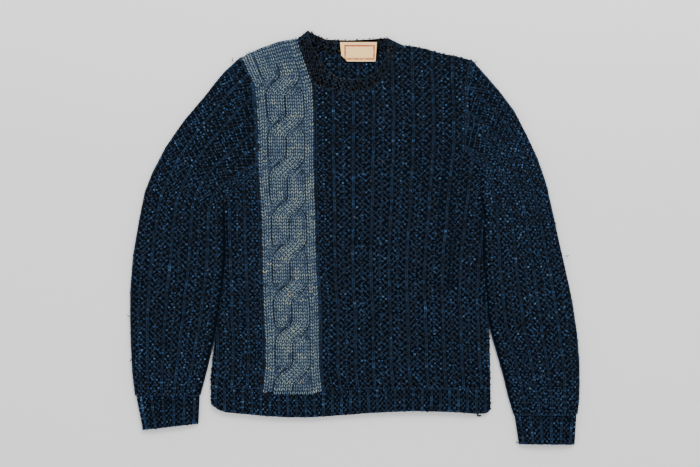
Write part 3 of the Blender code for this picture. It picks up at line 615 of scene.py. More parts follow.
broadRib = {
    # where a rib's wales stand in its pitch, and on which rows they have bumps (None: on all)
    "wales": (
        (0.0, "knit", None), (0.20, "bump", 0), (0.32, "bump", 1),
        (0.48, "bump", None), (0.65, "bump", 1), (0.79, "bump", 0)
    ),
    "wideWales": (
        (0.0, "knit", None),
        (0.14, "bump", 0),
        (0.25, "bump", 1),
        (0.36, "bump", 0),
        (0.49, "bump", None),
        (0.63, "bump", 0),
        (0.75, "bump", 1),
        (0.86, "bump", 0),
    ),
    "wideFrom": 0.041,
    "rowHeight": 0.00505,
    "yarn": 0.0023,
    "knitWidth": 0.0039,
    "bumpWidth": 0.0062,
    "linkWidth": 0.0019,
    "knitTone": 0.55,
    "bumpTone": 0.62,
    "linkTone": 0.28,
    "spread": 0.15,
    "linkSpread": 0.24,
    "missing": 0.22,
    "wander": 0.0006,
    "raised": {"knit": 0.0003, "bump": 0.0006, "link": 0.0002},
    "longestLink": 3.2,  # in rows; a longer one would cross a gap
    "linkReach": (0.90, 0.74),  # share of its length that shows between bumps, and beside a knit wale
}
bandRib = {
    **broadRib,
    "wales": ((0.0, "knit", None), (0.27, "bump", 0), (0.50, "bump", 1), (0.73, "bump", 0)),
    "rowHeight": 0.0046,
    "knitWidth": 0.0035,
    "bumpWidth": 0.0048,
    "linkWidth": 0.0016,
    "knitTone": 0.65,
    "bumpTone": 0.62,
    "linkTone": 0.20,
}

# soft folds below the wearer's left armhole: each a line, on which the cloth sinks and its loops are toned darker as
# painted shade
folds = (((0.1603, 0.1439), (0.1411, 0.0004)), ((0.1673, 0.0879), (0.1656, -0.0872)))
foldFacts = {"half": 0.006, "shade": -0.12, "sink": 0.0010}


def foldAt(spot):
    deepest = 0.0
    for start, end in folds:
        start, end = np.array(start), np.array(end)
        along = np.clip(np.dot(spot - start, end - start) / np.dot(end - start, end - start), 0, 1)
        away = np.linalg.norm(spot - start - along * (end - start))
        deepest = max(deepest, math.exp(-((away / foldFacts["half"]) ** 2)))
    return deepest


def layNet(points, nodeName, wales, settings, shadeOf=None):
    # wales: kind, rows with bumps, and a place for each row or None where the wale is not seen
    height, yarn = settings["rowHeight"], settings["yarn"]
    wander = {}

    def placeOf(number, row):
        key = (number, row)
        if key not in wander:
            wander[key] = rng.normal(0, settings["wander"], 2)
        kind, _, spots = wales[number]
        return np.array(spots[row]) + wander[key] * (0.3 if kind == "knit" else 1.0)

    def hasBump(number, row):
        _, rows, spots = wales[number]
        return 0 <= row < len(spots) and spots[row] is not None and (rows is None or row % 2 == rows)

    def put(spot, direction, size, kind, tone, raised, spread=settings["spread"]):
        fold = foldAt(spot)
        # the fold's darkening is painted shade; shadeOf adds the cloth's own wear and browning
        shade = foldFacts["shade"] * fold + (shadeOf(spot) if shadeOf else 0.0)
        lay(
            points, nodeName, spot, direction, size, kind,
            toneOf(tone + shade, spread), raised - foldFacts["sink"] * fold
        )

    for number, (kind, rows, spots) in enumerate(wales):
        for row in range(len(spots)):
            if not hasBump(number, row):
                continue
            near = [r for r in (row - 1, row + 1) if 0 <= r < len(spots) and spots[r] is not None]
            if not near:
                continue
            direction = np.array(spots[max(near[-1], row)]) - np.array(spots[min(near[0], row)])
            direction /= max(np.linalg.norm(direction), 1e-9)
            if kind == "knit":
                put(
                    placeOf(number, row), direction, (settings["knitWidth"], height, yarn),
                    "ribKnit", settings["knitTone"], settings["raised"]["knit"]
                )
            else:
                put(
                    placeOf(number, row), direction, (settings["bumpWidth"], height, yarn),
                    "bump", settings["bumpTone"], settings["raised"]["bump"]
                )
    for number in range(len(wales) - 1):
        here, there = (number, number + 1) if wales[number][1] is not None else (number + 1, number)
        if wales[here][1] is None:
            continue
        for row in range(len(wales[here][2])):
            for step in (-1, 1):
                if not (hasBump(here, row) and hasBump(there, row + step)) or rng.random() < settings["missing"]:
                    continue
                a, b = placeOf(here, row), placeOf(there, row + step)
                length = float(np.linalg.norm(b - a))
                if length < settings["longestLink"] * height:
                    besideKnit = wales[there][0] == "knit"
                    size = (settings["linkWidth"], length * settings["linkReach"][besideKnit], yarn)
                    # painted shade: links beside a knit wale are darker, in the furrow along it
                    tone = settings["linkTone"] - 0.10 * besideKnit
                    put(
                        (a + b) / 2, (b - a) / length, size, "link", tone,
                        settings["raised"]["link"], settings["linkSpread"]
                    )


frontRibs = {
    "first": 0.0172, "furrows": 9, "levels": (-0.265, -0.108, -0.015, 0.055, 0.138, 0.265),
    "pitches": (0.0308, 0.0306, 0.0316, 0.0330, 0.0347, 0.0349)
}
sideRibs = {"first": 0.015, "furrows": 3, "pitch": 0.027}
seamMargin = 0.0015


def panelLoops(nodeName, length, lastRib, placeAt):
    # placeAt gives a wale's x on a level, or None past the panel's edge, from how many ribs lie before it
    points, rowHeight = newPoints(), broadRib["rowHeight"]
    levels = [layout["hemSeam"] + (row + 0.5) * rowHeight for row in range(int(length / rowHeight))]
    wales = []
    for rib in range(-2, lastRib):
        for phase, kind, rows in broadRib["wales"]:
            across = [placeAt(rib + 0.5 + phase, y) for y in levels]
            wales.append((kind, rows, [None if x is None else (x, y) for x, y in zip(across, levels)]))
    layNet(points, nodeName, wales, broadRib)
    return points


def frontPlace(ribs, y):
    left, pitch = stripEdges(y)[1], float(np.interp(y, frontRibs["levels"], frontRibs["pitches"]))
    x = left + frontRibs["first"] + ribs * pitch
    return x if x > left + seamMargin else None


def sidePlace(ribs, y):
    right = stripEdges(y)[0]
    x = right - sideRibs["first"] - ribs * sideRibs["pitch"]
    return x if x < right - seamMargin else None


def insideLoops():
    # the inside of the back, seen through the neck
    points, wales = newPoints(), []
    view = {"left": -0.09, "right": 0.07, "bottom": 0.235, "top": 0.345, "knitWale": -0.0277, "pitch": 0.0322}
    levels = np.arange(view["bottom"], view["top"], broadRib["rowHeight"])
    for rib in range(-3, 4):
        for phase, kind, rows in broadRib["wales"]:
            x = view["knitWale"] + (rib + phase) * view["pitch"]
            seen = view["left"] < x < view["right"]
            wales.append((kind, rows, [(x, y) if seen and not underLabel(x, y) else None for y in levels]))
    layNet(points, "back", wales, broadRib)
    return points


def sleeveLoops(nodeName, ribs=5):
    # the sleeve's wales run from the cuff up into the armhole, where they end
    points = newPoints()
    given = sleeveLayout[nodeName]
    ends = given["waleEnds"]

    def place(row, station):
        outerX, outerY, innerX, innerY, share = row
        number = min(int(station), ribs - 1)
        seam = between(ends[number], ends[number + 1], station - number)
        chord = between(ends[0], ends[-1], station / ribs)
        straight = between((outerX, outerY), (innerX, innerY), station / ribs)
        return (straight[0] + share * (seam[0] - chord[0]), straight[1] + share * (seam[1] - chord[1]))

    rings = given["rings"][::-1]
    for wide in (False, True):
        wales = []
        for rib in range(ribs):
            for phase, kind, rows in broadRib["wideWales" if wide else "wales"]:
                station = rib + phase
                line = [place(row, station) for row in rings]
                beside = [place(row, min(station + 0.5, ribs)) for row in rings]
                other = [place(row, max(station - 0.5, 0)) for row in rings]
                share = min(station + 0.5, ribs) - max(station - 0.5, 0)
                pitches = [math.dist(a, b) / share for a, b in zip(other, beside)]
                marks = np.cumsum([0.0] + [math.dist(a, b) for a, b in zip(line, line[1:])])
                spots = []
                for row, spot, _ in walk(line, broadRib["rowHeight"]):
                    pitch = float(np.interp((row + 0.5) * broadRib["rowHeight"], marks, pitches))
                    seen = pitch > broadRib["wideFrom"] if wide else pitch < broadRib["wideFrom"] + 0.003
                    spots.append(tuple(spot) if seen else None)
                wales.append((kind, rows, spots))
        layNet(points, nodeName, wales, {**broadRib, "knitTone": 0.60})
    return points


# Narrow ribs of the bands

hemBand = {"ribs": 31, "left": -0.2519, "right": 0.2350}
cuffBand = {"ribs": 6}
neckBand = {"ribLength": 0.0158, "brown": (-0.0330, 0.2820), "brownHalf": 0.017, "brownShade": 0.42, "nubs": 0.0085}


def bandWales(ribs, shareLine):
    # shareLine gives the places of one wale's rows from its share of the band's length
    wales = []
    for rib in range(-1, ribs):
        for phase, kind, rows in bandRib["wales"]:
            share = (rib + 0.5 + phase) / ribs
            wales.append((kind, rows, shareLine(share) if 0 < share < 1 else []))
    return wales


def hemLoops():
    points = newPoints()
    edge = np.array(layout["hemEdge"])

    def line(share):
        x = hemBand["left"] + share * (hemBand["right"] - hemBand["left"])
        bottom = float(np.interp(x, edge[:, 0], edge[:, 1])) + 0.0020
        return [(x, y) for y in np.arange(bottom, layout["hemSeam"] + 0.001, bandRib["rowHeight"])]

    layNet(points, "hem_front", bandWales(hemBand["ribs"], line), bandRib)
    return points


def cuffLoops(cuffName, sleeveName, wornSide):
    points = newPoints()
    given = sleeveLayout[sleeveName]
    outerX, outerY, innerX, innerY, _ = given["rings"][-1]
    outerEnd = np.array(given["cuffEnd"][0])

    def line(share):
        top, bottom = between((outerX, outerY), (innerX, innerY), share), between(*given["cuffEnd"], share)
        return [tuple(spot) for _, spot, _ in walk((bottom, top), bandRib["rowHeight"], start=0.35)]

    def worn(spot):
        return 0.34 * max(0.0, 1 - abs(spot[0] - outerEnd[0]) / wornSide)

    layNet(points, cuffName, bandWales(cuffBand["ribs"], line), bandRib, worn)
    return points


def neckLoops(seam, free, points):
    settings = {**bandRib, "rowHeight": 0.0044, "bumpTone": 0.50, "knitTone": 0.50}

    def line(share):
        foot, head = pointAlong(layout[seam], share), pointAlong(layout[free], share)
        spots = [tuple(spot) for _, spot, _ in walk((foot, head), settings["rowHeight"], start=0.45)]
        return [None if seam == "backSeam" and underLabel(*spot) else spot for spot in spots]

    def brown(spot):
        away = np.linalg.norm(spot - np.array(neckBand["brown"])) / neckBand["brownHalf"]
        return neckBand["brownShade"] * math.exp(-away * away)

    ribs = round(lineLength(layout[seam]) / neckBand["ribLength"])
    layNet(points, "neckband", bandWales(ribs, line), settings, brown)
    return points


# The mend: a strip of cable knit, two strands that cross over each other between plain ribs

cable = {
    "width": 0.096,
    "twist": 0.072,
    "firstCrossing": 0.2646,
    "crossings": 8,
    "middle": 0.508,
    "swing": 0.165,
    "strandHalf": 0.155,
    "slantSpread": 0.52,  # how much wider a slanting strand lies across the strip, as a share of what its slant gives
    "turnOver": 0.29,  # share of the twist, either side of a crossing, in which the strands change sides
    "crown": 0.0024,  # height of a strand between crossings
    "crownOver": 0.0037,
    "crownUnder": 0.0008,
    "ribRise": 0.0013,
    "ribs": ((0.0, 0.165, 2), (0.845, 1.0, 2)),  # start, end, wales
    "valleys": (0.190, 0.248, 0.306, 0.735, 0.785, 0.832),
    "strandWales": 4,
    "rowHeight": 0.0058,
    "yarn": 0.0026,
    "end": -0.272,
    "creaseDepth": 0.0034,
    "creaseHalf": 0.0019,
    "roundShade": 0.18,
    "openHalf": 0.0029,
    "openFrom": 0.42,
    "raised": 0.0003,  # loops above the cloth; those in the valleys lie as far below it
    # the valleys' lower tone is painted shade in the recessed purl wales
    "tones": {"rib": (0.53, 0.14), "valley": (0.36, 0.13), "top": (0.49, 0.14), "end": (0.52, 0.14)},
    # painted shade: the lower strand is toned darker than the upper, darker still near a crossing, and each strand
    # darkens towards its edges
    "strandTones": {"over": 0.63, "under": 0.52, "dip": 0.10, "spread": 0.13},
    "gridRows": 300,
    "gridColumns": 72,
}
stripTop = 0.3346


def crossingPhase(level):
    # the nearest crossing and how far below it the level lies, counted in twists
    turns = (cable["firstCrossing"] - level) / cable["twist"]
    number = math.floor(turns + 0.5)
    return number, turns - number


def strandPose(over, phase):
    # middle, half width and crown of the strand on top, which runs down from right to left, or of the one below
    turned = min(1.0, max(-1.0, phase / cable["turnOver"]))
    side = math.sin(math.pi / 2 * turned)
    slope = cable["swing"] * cable["width"] * math.pi / 2 / cable["turnOver"] / cable["twist"]
    slope *= math.cos(math.pi / 2 * turned) if abs(turned) < 1 else 0.0
    half = cable["strandHalf"] * (1 + cable["slantSpread"] * (math.sqrt(1 + slope * slope) - 1))
    near = math.cos(math.pi * phase) ** 2
    if over:
        return cable["middle"] - cable["swing"] * side, half, cable["crown"] + (
            cable["crownOver"] - cable["crown"]
        ) * near
    return cable["middle"] + cable["swing"] * side, half, cable["crown"] + (
        cable["crownUnder"] - cable["crown"]
    ) * near


def ramped(value, start, end):
    share = min(1.0, max(0.0, (value - start) / (end - start)))
    return share * share * (3 - 2 * share)


def strandHeight(over, share, level):
    _, phase = crossingPhase(level)
    middle, half, crown = strandPose(over, phase)
    across = (share - middle) / half
    fade = 1 - ramped(
        level, cable["firstCrossing"] + 0.3 * cable["twist"], cable["firstCrossing"] + 0.7 * cable["twist"]
    )
    return fade * crown * math.sqrt(1 - across * across) if abs(across) < 1 else -1.0


def creaseAt(share, level, spread=cable["creaseHalf"]):
    # the fold beside the upper strand: deep where the lower strand dives under it, shallow where it comes out
    _, phase = crossingPhase(level)
    middle, half, _ = strandPose(True, phase)
    lean = half / cable["strandHalf"]
    deepest = 0.0
    for edge, start, full, end, depth in ((-1, -0.50, -0.16, 0.07, 1.0), (1, -0.22, 0.0, 0.18, 0.4)):
        window = ramped(phase, start, full) * (1 - ramped(phase, full + 0.5 * (end - full), end))
        away = (share - middle - edge * half) * cable["width"] / lean
        deepest = max(deepest, depth * window * math.exp(-((away / spread) ** 2)))
    return deepest


def cableRelief(share, level):
    for start, end, _ in cable["ribs"]:
        if start <= share <= end:
            middle = (start + end) / 2
            return cable["ribRise"] * math.sqrt(max(0.0, 1 - ((share - middle) / (end - middle)) ** 2))
    raised = max(0.0, strandHeight(True, share, level), strandHeight(False, share, level))
    return raised - cable["creaseDepth"] * creaseAt(share, level)


def stripPlace(share, level):
    # the strip's rows lean to follow the shoulder above its first crossing
    low = min(level, cable["firstCrossing"])
    left, right = stripEdges(low)
    left, right = left + 0.0005, right - 0.0004
    spot = (left + (right - left) * share, low)
    if level > low:
        shoulder = np.array(layout["rightShoulder"])
        start, end = shoulder[0][0] + 0.0006, shoulder[-1][0] - 0.0003
        x = start + (end - start) * share
        top = (x, float(np.interp(x, shoulder[:, 0], shoulder[:, 1])) - 0.001)
        spot = between(spot, top, (level - low) / (stripTop - low))
    return spot


def rayHeight(nodeName, place):
    hit = above(nodeName, *onGarment(place))[0]
    return None if hit is None else hit.z


stripLevels = np.linspace(cable["end"] + 0.0004, stripTop, cable["gridRows"])
valleyHeights = []
for level in stripLevels:
    sides = [rayHeight("cable_panel", stripPlace(share, level)) for share in (0.235, 0.805)]
    sides = [h for h in sides if h is not None] or valleyHeights[-1:]
    valleyHeights.append(min(sides))


def stripHeight(share, level):
    plain = float(np.interp(level, stripLevels, valleyHeights)) + cableRelief(share, level)
    blend = ramped(level, 0.268, 0.282)
    if blend == 0.0:
        return plain
    solid = rayHeight("cable_panel", stripPlace(share, level)) or float(np.interp(level, stripLevels, valleyHeights))
    return plain * (1 - blend) + (solid + 0.35 * cableRelief(share, level)) * blend


def cableLoops():
    points = newPoints()
    step, wide = cable["rowHeight"], cable["width"]
    strandTones, tones, raised = cable["strandTones"], cable["tones"], cable["raised"]

    def layOnStrip(share, level, width, tone, lift, lean=0.0, upper=False):
        crease = creaseAt(share, level, cable["openHalf"])
        if crease > cable["openFrom"] and not upper:
            return
        # painted shade: loops near a crease are toned darker
        tone = float(np.clip(tone - 0.30 * crease, 0.02, 1))
        spot, ahead = stripPlace(share, level), stripPlace(share + lean * 0.001 / wide, level + 0.001)
        small = 0.008
        slopeX = (
            stripHeight(min(share + small, 1), level) - stripHeight(max(share - small, 0), level)
        ) / (2 * small * wide)
        slopeY = (stripHeight(share, level + 0.001) - stripHeight(share, level - 0.001)) / 0.002
        normal = Vector((-slopeX, -slopeY, 1.4)).normalized()
        place = (*onGarment(spot), stripHeight(share, level) + lift)
        direction = (ahead[0] - spot[0], ahead[1] - spot[1], 0.0)
        addPoint(points, place, normal, direction, (width, step, cable["yarn"]), "knit", tone)

    for level in np.arange(cable["end"] + 0.2 * step, stripTop - 0.2 * step, step):
        for start, end, wales in cable["ribs"]:
            for wale in range(wales):
                share = start + (end - start) * (wale + 0.5) / wales
                layOnStrip(
                    share, level + 0.3 * step * wale, wide * (end - start) / wales, toneOf(*tones["rib"]), raised
                )
        for share in cable["valleys"]:
            if max(strandHeight(True, share, level), strandHeight(False, share, level)) < 0:
                layOnStrip(share, level, wide * 0.058, toneOf(*tones["valley"]), -raised)
        if level > cable["firstCrossing"] + cable["twist"] / 2:
            for wale in range(2 * cable["strandWales"]):
                share = 0.205 + 0.61 * (wale + 0.5) / (2 * cable["strandWales"])
                layOnStrip(share, level, wide * 0.076, toneOf(*tones["top"]), raised)
    for number in range(cable["crossings"]):
        for over in (False, True):
            for wale in range(cable["strandWales"]):
                offset = (wale + 0.5) / cable["strandWales"] * 2 - 1
                phases = np.linspace(-0.5, 0.5, 60)
                line = []
                for phase in phases:
                    middle, half, _ = strandPose(over, phase)
                    line.append(
                        ((middle + offset * half) * wide, cable["firstCrossing"] - (number + phase) * cable["twist"])
                    )
                rows = round(lineLength(line) / step)
                for row, spot, direction in walk(line, lineLength(line) / rows * 0.9999):
                    share, level = spot[0] / wide, spot[1]
                    if not cable["end"] < level < stripTop:
                        continue
                    mine, other = strandHeight(over, share, level), strandHeight(not over, share, level)
                    if mine >= other:
                        lean = direction[0] / direction[1]
                        width = 2 * cable["strandHalf"] * wide / cable["strandWales"]
                        near = math.exp(-((crossingPhase(level)[1] / 0.2) ** 2))
                        # painted shade: lower strand and strand edges toned darker
                        tone = (
                            strandTones["over"] if over else strandTones["under"] - strandTones["dip"] * near
                        ) - cable["roundShade"] * offset * offset
                        layOnStrip(share, level, width, toneOf(tone, strandTones["spread"]), raised, lean, over)
    for share in np.arange(0.225, 0.82, 0.066):
        layOnStrip(share, cable["end"] - 0.0014, wide * 0.068, toneOf(*tones["end"]), raised)
    return points


def paintedCreaseShade(points):
    # painted shade in the folds beside the strands: dark yarn laid in lines just over the cloth, each following one
    # edge of the upper or the lower strand
    lines = (  # upper strand, its left or right edge, first and last phase, widest and narrowest, tone
        (True, -1, -0.50, 0.05, 0.0024, 0.0009, -1.2),
        (True, 1, -0.06, 0.50, 0.0013, 0.0009, -0.45),
        (False, -1, -0.50, -0.10, 0.0012, 0.0009, -0.2),
        (True, -1, 0.06, 0.50, 0.0012, 0.0009, -0.2),
        (True, 1, -0.50, -0.08, 0.0012, 0.0009, -0.2),
        (False, 1, 0.06, 0.50, 0.0012, 0.0009, -0.2),
    )
    for number in range(cable["crossings"]):
        for over, edge, start, end, widest, narrowest, tone in lines:
            spots, widths = [], []
            for phase in np.linspace(start, end, 26):
                middle, half, _ = strandPose(over, phase)
                level = cable["firstCrossing"] - (number + phase) * cable["twist"]
                share = middle + edge * (half + 0.007)
                done = (phase - start) / (end - start)
                swell = math.sin(math.pi * done) ** 0.7 * (1 - 0.6 * abs(2 * done - 1.3))
                if over and edge > 0 and start > -0.4:
                    swell = 1 - done
                widths.append(max(narrowest, widest * swell))
                z = stripHeight(share, level) + cable["creaseDepth"] * creaseAt(share, level) + 0.0024
                spots.append((*stripPlace(share, level), z))
            for a, b, width in zip(spots, spots[1:], widths[1:]):
                if b[1] < cable["end"] + 0.002:
                    continue
                a, b = np.array(a), np.array(b)
                length = float(np.linalg.norm(b - a))
                middle = (a + b) / 2
                size = (width, length * 2.2, 0.0012)
                shade = tone + rng.normal(0, 0.14)
                addPoint(points, (*onGarment(middle), middle[2]), upward, (b - a) / length, size, "link", shade)


def stripCloth():
    # closed wall: a fine upper face over a plain lower one
    columns, rows = cable["gridColumns"], cable["gridRows"]
    upper, lower = [], []
    for level in stripLevels:
        for column in range(columns + 1):
            share = column / columns
            x, y = onGarment(stripPlace(share, level))
            z = max(stripHeight(share, level), 0.0056)
            upper.append((x, y, z))
            lower.append((x, y, min(float(np.interp(level, stripLevels, valleyHeights)) - 0.0036, z - 0.0012)))
    vertices = upper + lower
    count = len(upper)
    wide = columns + 1
    faces = []
    for r in range(rows - 1):
        for c in range(columns):
            a, b, d, e = r * wide + c, r * wide + c + 1, (r + 1) * wide + c, (r + 1) * wide + c + 1
            faces += [(a, b, e, d), (a + count, d + count, e + count, b + count)]
    rim = [c for c in range(wide)] + [r * wide + columns for r in range(1, rows)]
    rim += [(rows - 1) * wide + c for c in range(columns - 1, -1, -1)] + [r * wide for r in range(rows - 2, 0, -1)]
    for a, b in zip(rim, rim[1:] + rim[:1]):
        faces.append((b, a, a + count, b + count))
    return meshObject("cable_strip_cloth", vertices, faces)


# Cloth: each panel's own wall, closed, behind its loops

def clothFrom(nodeName, name):
    mesh = nodes[nodeName].data.copy()
    shape = bmesh.new()
    shape.from_mesh(mesh)
    bmesh.ops.remove_doubles(shape, verts=shape.verts, dist=1e-5)
    shape.to_mesh(mesh)
    shape.free()
    mesh.shade_smooth()
    mesh.set_sharp_from_angle(angle=math.radians(50))
    mesh.materials.clear()
    made = bpy.data.objects.new(name, mesh)
    scene.collection.objects.link(made)
    return made


def declare(cloth, nodeName, ground, flat, area, loopsPieces=()):
    # area is the cut's, measured on the laid outline with each layer of a tube counted, and not taken from the mesh
    cloth.data.materials.clear()
    cloth.data.materials.append(grounds[ground])
    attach(cloth, "root")
    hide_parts(nodeName)
    print(f"{cloth.name}: cut {flat[0]:.3f} x {flat[1]:.3f} m, {area:.4f} m2")


# Folded and free edges: a wale or a row of loops turns over there

edges = {
    "rightBody": (
        (-0.2310, 0.0650), (-0.2280, 0.0360), (-0.2265, 0.0110), (-0.2265, -0.0430), (-0.2350, -0.1080),
        (-0.2405, -0.1480), (-0.2466, -0.1900), (-0.2527, -0.2450), (-0.2520, -0.2930),
    ),
    "leftBody": (
        (0.2215, 0.1206), (0.2225, 0.0930), (0.2190, 0.0650), (0.2250, 0.0360), (0.2225, 0.0110), (0.2222, -0.0430),
        (0.2287, -0.1080), (0.2325, -0.1480), (0.2347, -0.1900), (0.2353, -0.2450), (0.2360, -0.3020),
    ),
    "rightArmhole": (
        (-0.2002, 0.3119), (-0.1766, 0.2646), (-0.1722, 0.2166), (-0.1705, 0.1686), (-0.1698, 0.1206),
        (-0.2310, 0.0650),
    ),
    "leftArmhole": sleeveLayout["sleeve_left"]["waleEnds"],
    "leftShoulder": (
        (0.0772, 0.3346), (0.1060, 0.3311), (0.1288, 0.3259), (0.1480, 0.3192), (0.1726, 0.3154), (0.2023, 0.3075),
    ),
}
# the edge loops' tone is lower than the cloth's: painted shade where the cloth rounds over its edges and along seams
edgeLoop = {"step": 0.0046, "width": 0.0060, "yarn": 0.0024, "foldHeight": 0.0048, "tone": 0.38, "spread": 0.16}


def edgeLoops(points, line, height=None, kind="purl", inward=0.0, tone=None):
    # a line of loops along an edge, at the height of what lies beside it or at a given one
    for row, spot, direction in walk(line, edgeLoop["step"]):
        aside = np.array((direction[1], -direction[0]))
        x, y = spot + aside * inward + np.array(drawingShift)
        z = height
        if z is None:
            found = []
            for shift in (-0.003, 0.003):
                for nodeName in surfaces:
                    hit = above(nodeName, x + aside[0] * shift, y + aside[1] * shift)[0]
                    if hit is not None:
                        found.append(hit.z)
            z = max(found) - 0.0004 if found else edgeLoop["foldHeight"]
        size = (edgeLoop["yarn" if kind == "link" else "width"], edgeLoop["step"] * 1.25, edgeLoop["yarn"])
        shade = toneOf(edgeLoop["tone"] if tone is None else tone, edgeLoop["spread"])
        addPoint(points, (x, y, z), upward, (direction[0], direction[1], 0.0), size, kind, shade)


nub = {"widths": (0.0028, 0.0052), "yarn": 0.0022, "tone": (0.32, 0.15)}


def nubs(points, line, spacing, reach, height=0.0045):
    # felted nubs that stand a little over an edge
    distance = rng.uniform(0, spacing)
    line = np.array(line)
    while distance < lineLength(line):
        spot = np.array(pointAlong(line, distance / lineLength(line)))
        ahead = np.array(pointAlong(line, min(1.0, distance / lineLength(line) + 0.01)))
        behind = np.array(pointAlong(line, max(0.0, distance / lineLength(line) - 0.01)))
        direction = (ahead - behind) / max(np.linalg.norm(ahead - behind), 1e-9)
        x, y = spot + np.array((direction[1], -direction[0])) * reach * rng.uniform(0.2, 1.0) + np.array(drawingShift)
        place = (x, y, height * rng.uniform(0.7, 1.2))
        wide = rng.uniform(*nub["widths"])
        aim = (direction[0], direction[1], 0.0)
        addPoint(points, place, upward, aim, (wide, wide, nub["yarn"]), "bump", toneOf(*nub["tone"]))
        distance += spacing * rng.uniform(0.3, 1.8)


def freeYarn(points, path, thickness, tone, step=0.0022):
    # short pieces that overlap, along places given with their height
    for _, spot, direction in walk(path, step):
        size = (thickness, step * 2.6, thickness)
        addPoint(points, (*onGarment(spot), spot[2]), upward, direction, size, "link", toneOf(tone, 0.1))


# the loose end at the hem: out of the cloth, down past the edge and back in a hook
yarnTail = (
    (0.2133, -0.3010, 0.0085), (0.2131, -0.3080, 0.0060), (0.2136, -0.3126, 0.0032),
    (0.2152, -0.3150, 0.0020), (0.2182, -0.3146, 0.0020)
)
# drawn threads: where each starts, where it goes and how thick it is
snags = {
    "sleeve_right": (
        ((-0.3950, -0.1400, 0.004), (-0.3975, -0.1397, 0.005), (-0.3985, -0.1375, 0.004)),
        ((-0.3905, -0.2140, 0.004), (-0.3925, -0.2152, 0.005), (-0.3935, -0.2172, 0.003)),
        ((-0.2140, 0.3060, 0.005), (-0.2158, 0.3096, 0.006), (-0.2145, 0.3120, 0.004)),
    ),
    "sleeve_left": (
        ((0.3470, 0.0235, 0.004), (0.3495, 0.0240, 0.005), (0.3505, 0.0222, 0.003)),
        ((0.3690, -0.0340, 0.004), (0.3710, -0.0350, 0.005), (0.3722, -0.0333, 0.003)),
        ((0.3870, -0.1800, 0.004), (0.3890, -0.1812, 0.005), (0.3900, -0.1830, 0.003)),
        ((0.3880, -0.1950, 0.004), (0.3895, -0.1960, 0.005), (0.3900, -0.1982, 0.003)),
        ((0.2080, 0.3020, 0.005), (0.2098, 0.3052, 0.006), (0.2118, 0.3050, 0.004)),
    ),
    "cuff_left": (((0.2860, -0.3600, 0.003), (0.2836, -0.3618, 0.004), (0.2822, -0.3600, 0.003)),),
}


def sleeveEdges(points, name):
    rings = sleeveLayout[name]["rings"]
    outer = [ring[:2] for ring in rings]
    inner = [ring[2:4] for ring in rings if ring[4] < 1]
    sign = 1 if name == "sleeve_right" else -1
    edgeLoops(points, outer, edgeLoop["foldHeight"], "link", 0.0008 * sign)
    edgeLoops(points, inner, edgeLoop["foldHeight"], "link", -0.0006 * sign)
    nubs(points, outer, 0.009, -0.0012 * sign)
    nubs(points, inner, 0.012, 0.0010 * sign)
    for path in snags[name]:
        freeYarn(points, path, 0.0009, 0.35)


print("laying the loops")
frontPoints = panelLoops("front_main", 0.62, frontRibs["furrows"], frontPlace)
sidePoints = panelLoops("front_side", 0.40, sideRibs["furrows"] + 1, sidePlace)
neckPoints = neckLoops("backSeam", "backFree", neckLoops("frontSeam", "frontFree", newPoints()))
insidePoints = insideLoops()
hemPoints = hemLoops()
rightSleevePoints = sleeveLoops("sleeve_right")
leftSleevePoints = sleeveLoops("sleeve_left")
rightCuffPoints = cuffLoops("cuff_right", "sleeve_right", 0.014)
leftCuffPoints = cuffLoops("cuff_left", "sleeve_left", 0.008)
stripPoints = cableLoops()
for edgeNumber, facing, points in ((1, -1, sidePoints), (2, 1, frontPoints)):
    # painted shade: darker loops along the strip's raised edges
    beside = [(row[edgeNumber] + facing * 0.0026, row[0]) for row in layout["strip"]]
    edgeLoops(points, beside, None, "ribKnit", 0.0, 0.34)
sleeveEdges(rightSleevePoints, "sleeve_right")
sleeveEdges(leftSleevePoints, "sleeve_left")
edgeLoops(sidePoints, edges["rightBody"], edgeLoop["foldHeight"], "link", -0.0006)
edgeLoops(frontPoints, edges["leftBody"], edgeLoop["foldHeight"], "link", 0.0006)
edgeLoops(rightSleevePoints, edges["rightArmhole"], None, "ribKnit")
edgeLoops(leftSleevePoints, edges["leftArmhole"], None, "ribKnit")
edgeLoops(frontPoints, edges["leftShoulder"], edgeLoop["foldHeight"], "link", 0.0006)
edgeLoops(neckPoints, layout["frontSeam"], None, "purl")
edgeLoops(neckPoints, layout["frontFree"], None, "link")
edgeLoops(hemPoints, layout["hemEdge"], 0.0062, "link")
for start, end in ((-0.2515, -0.1660), (-0.0555, 0.2345)):
    edgeLoops(hemPoints, ((start, layout["hemSeam"]), (end, layout["hemSeam"])), None, "bump", 0.0, 0.46)
nubs(sidePoints, edges["rightBody"], 0.012, 0.0010)
nubs(frontPoints, edges["leftBody"], 0.012, -0.0010)
nubs(frontPoints, edges["leftShoulder"], 0.010, -0.0012)
nubs(hemPoints, layout["hemEdge"], 0.010, 0.0010, 0.0055)
nubs(neckPoints, layout["backFree"], neckBand["nubs"], -0.0016)
freeYarn(hemPoints, yarnTail, 0.0027, 0.22)
for path in snags["cuff_left"]:
    freeYarn(leftCuffPoints, path, 0.0009, 0.35)
for cuffPoints, name, sign in ((rightCuffPoints, "sleeve_right", 1), (leftCuffPoints, "sleeve_left", -1)):
    edgeLoops(cuffPoints, sleeveLayout[name]["cuffEnd"], edgeLoop["foldHeight"], "link")
    seamRing = sleeveLayout[name]["rings"][-1]
    edgeLoops(cuffPoints, (seamRing[:2], seamRing[2:4]), None, "bump", 0.0, 0.46)
    nubs(cuffPoints, sleeveLayout[name]["cuffEnd"], 0.009, 0.0010 * sign)
for points in (
    frontPoints, sidePoints, neckPoints, hemPoints, rightSleevePoints,
    leftSleevePoints, rightCuffPoints, leftCuffPoints, stripPoints
):
    addFibres(points, 0.04)

paintedCreaseShade(stripPoints)

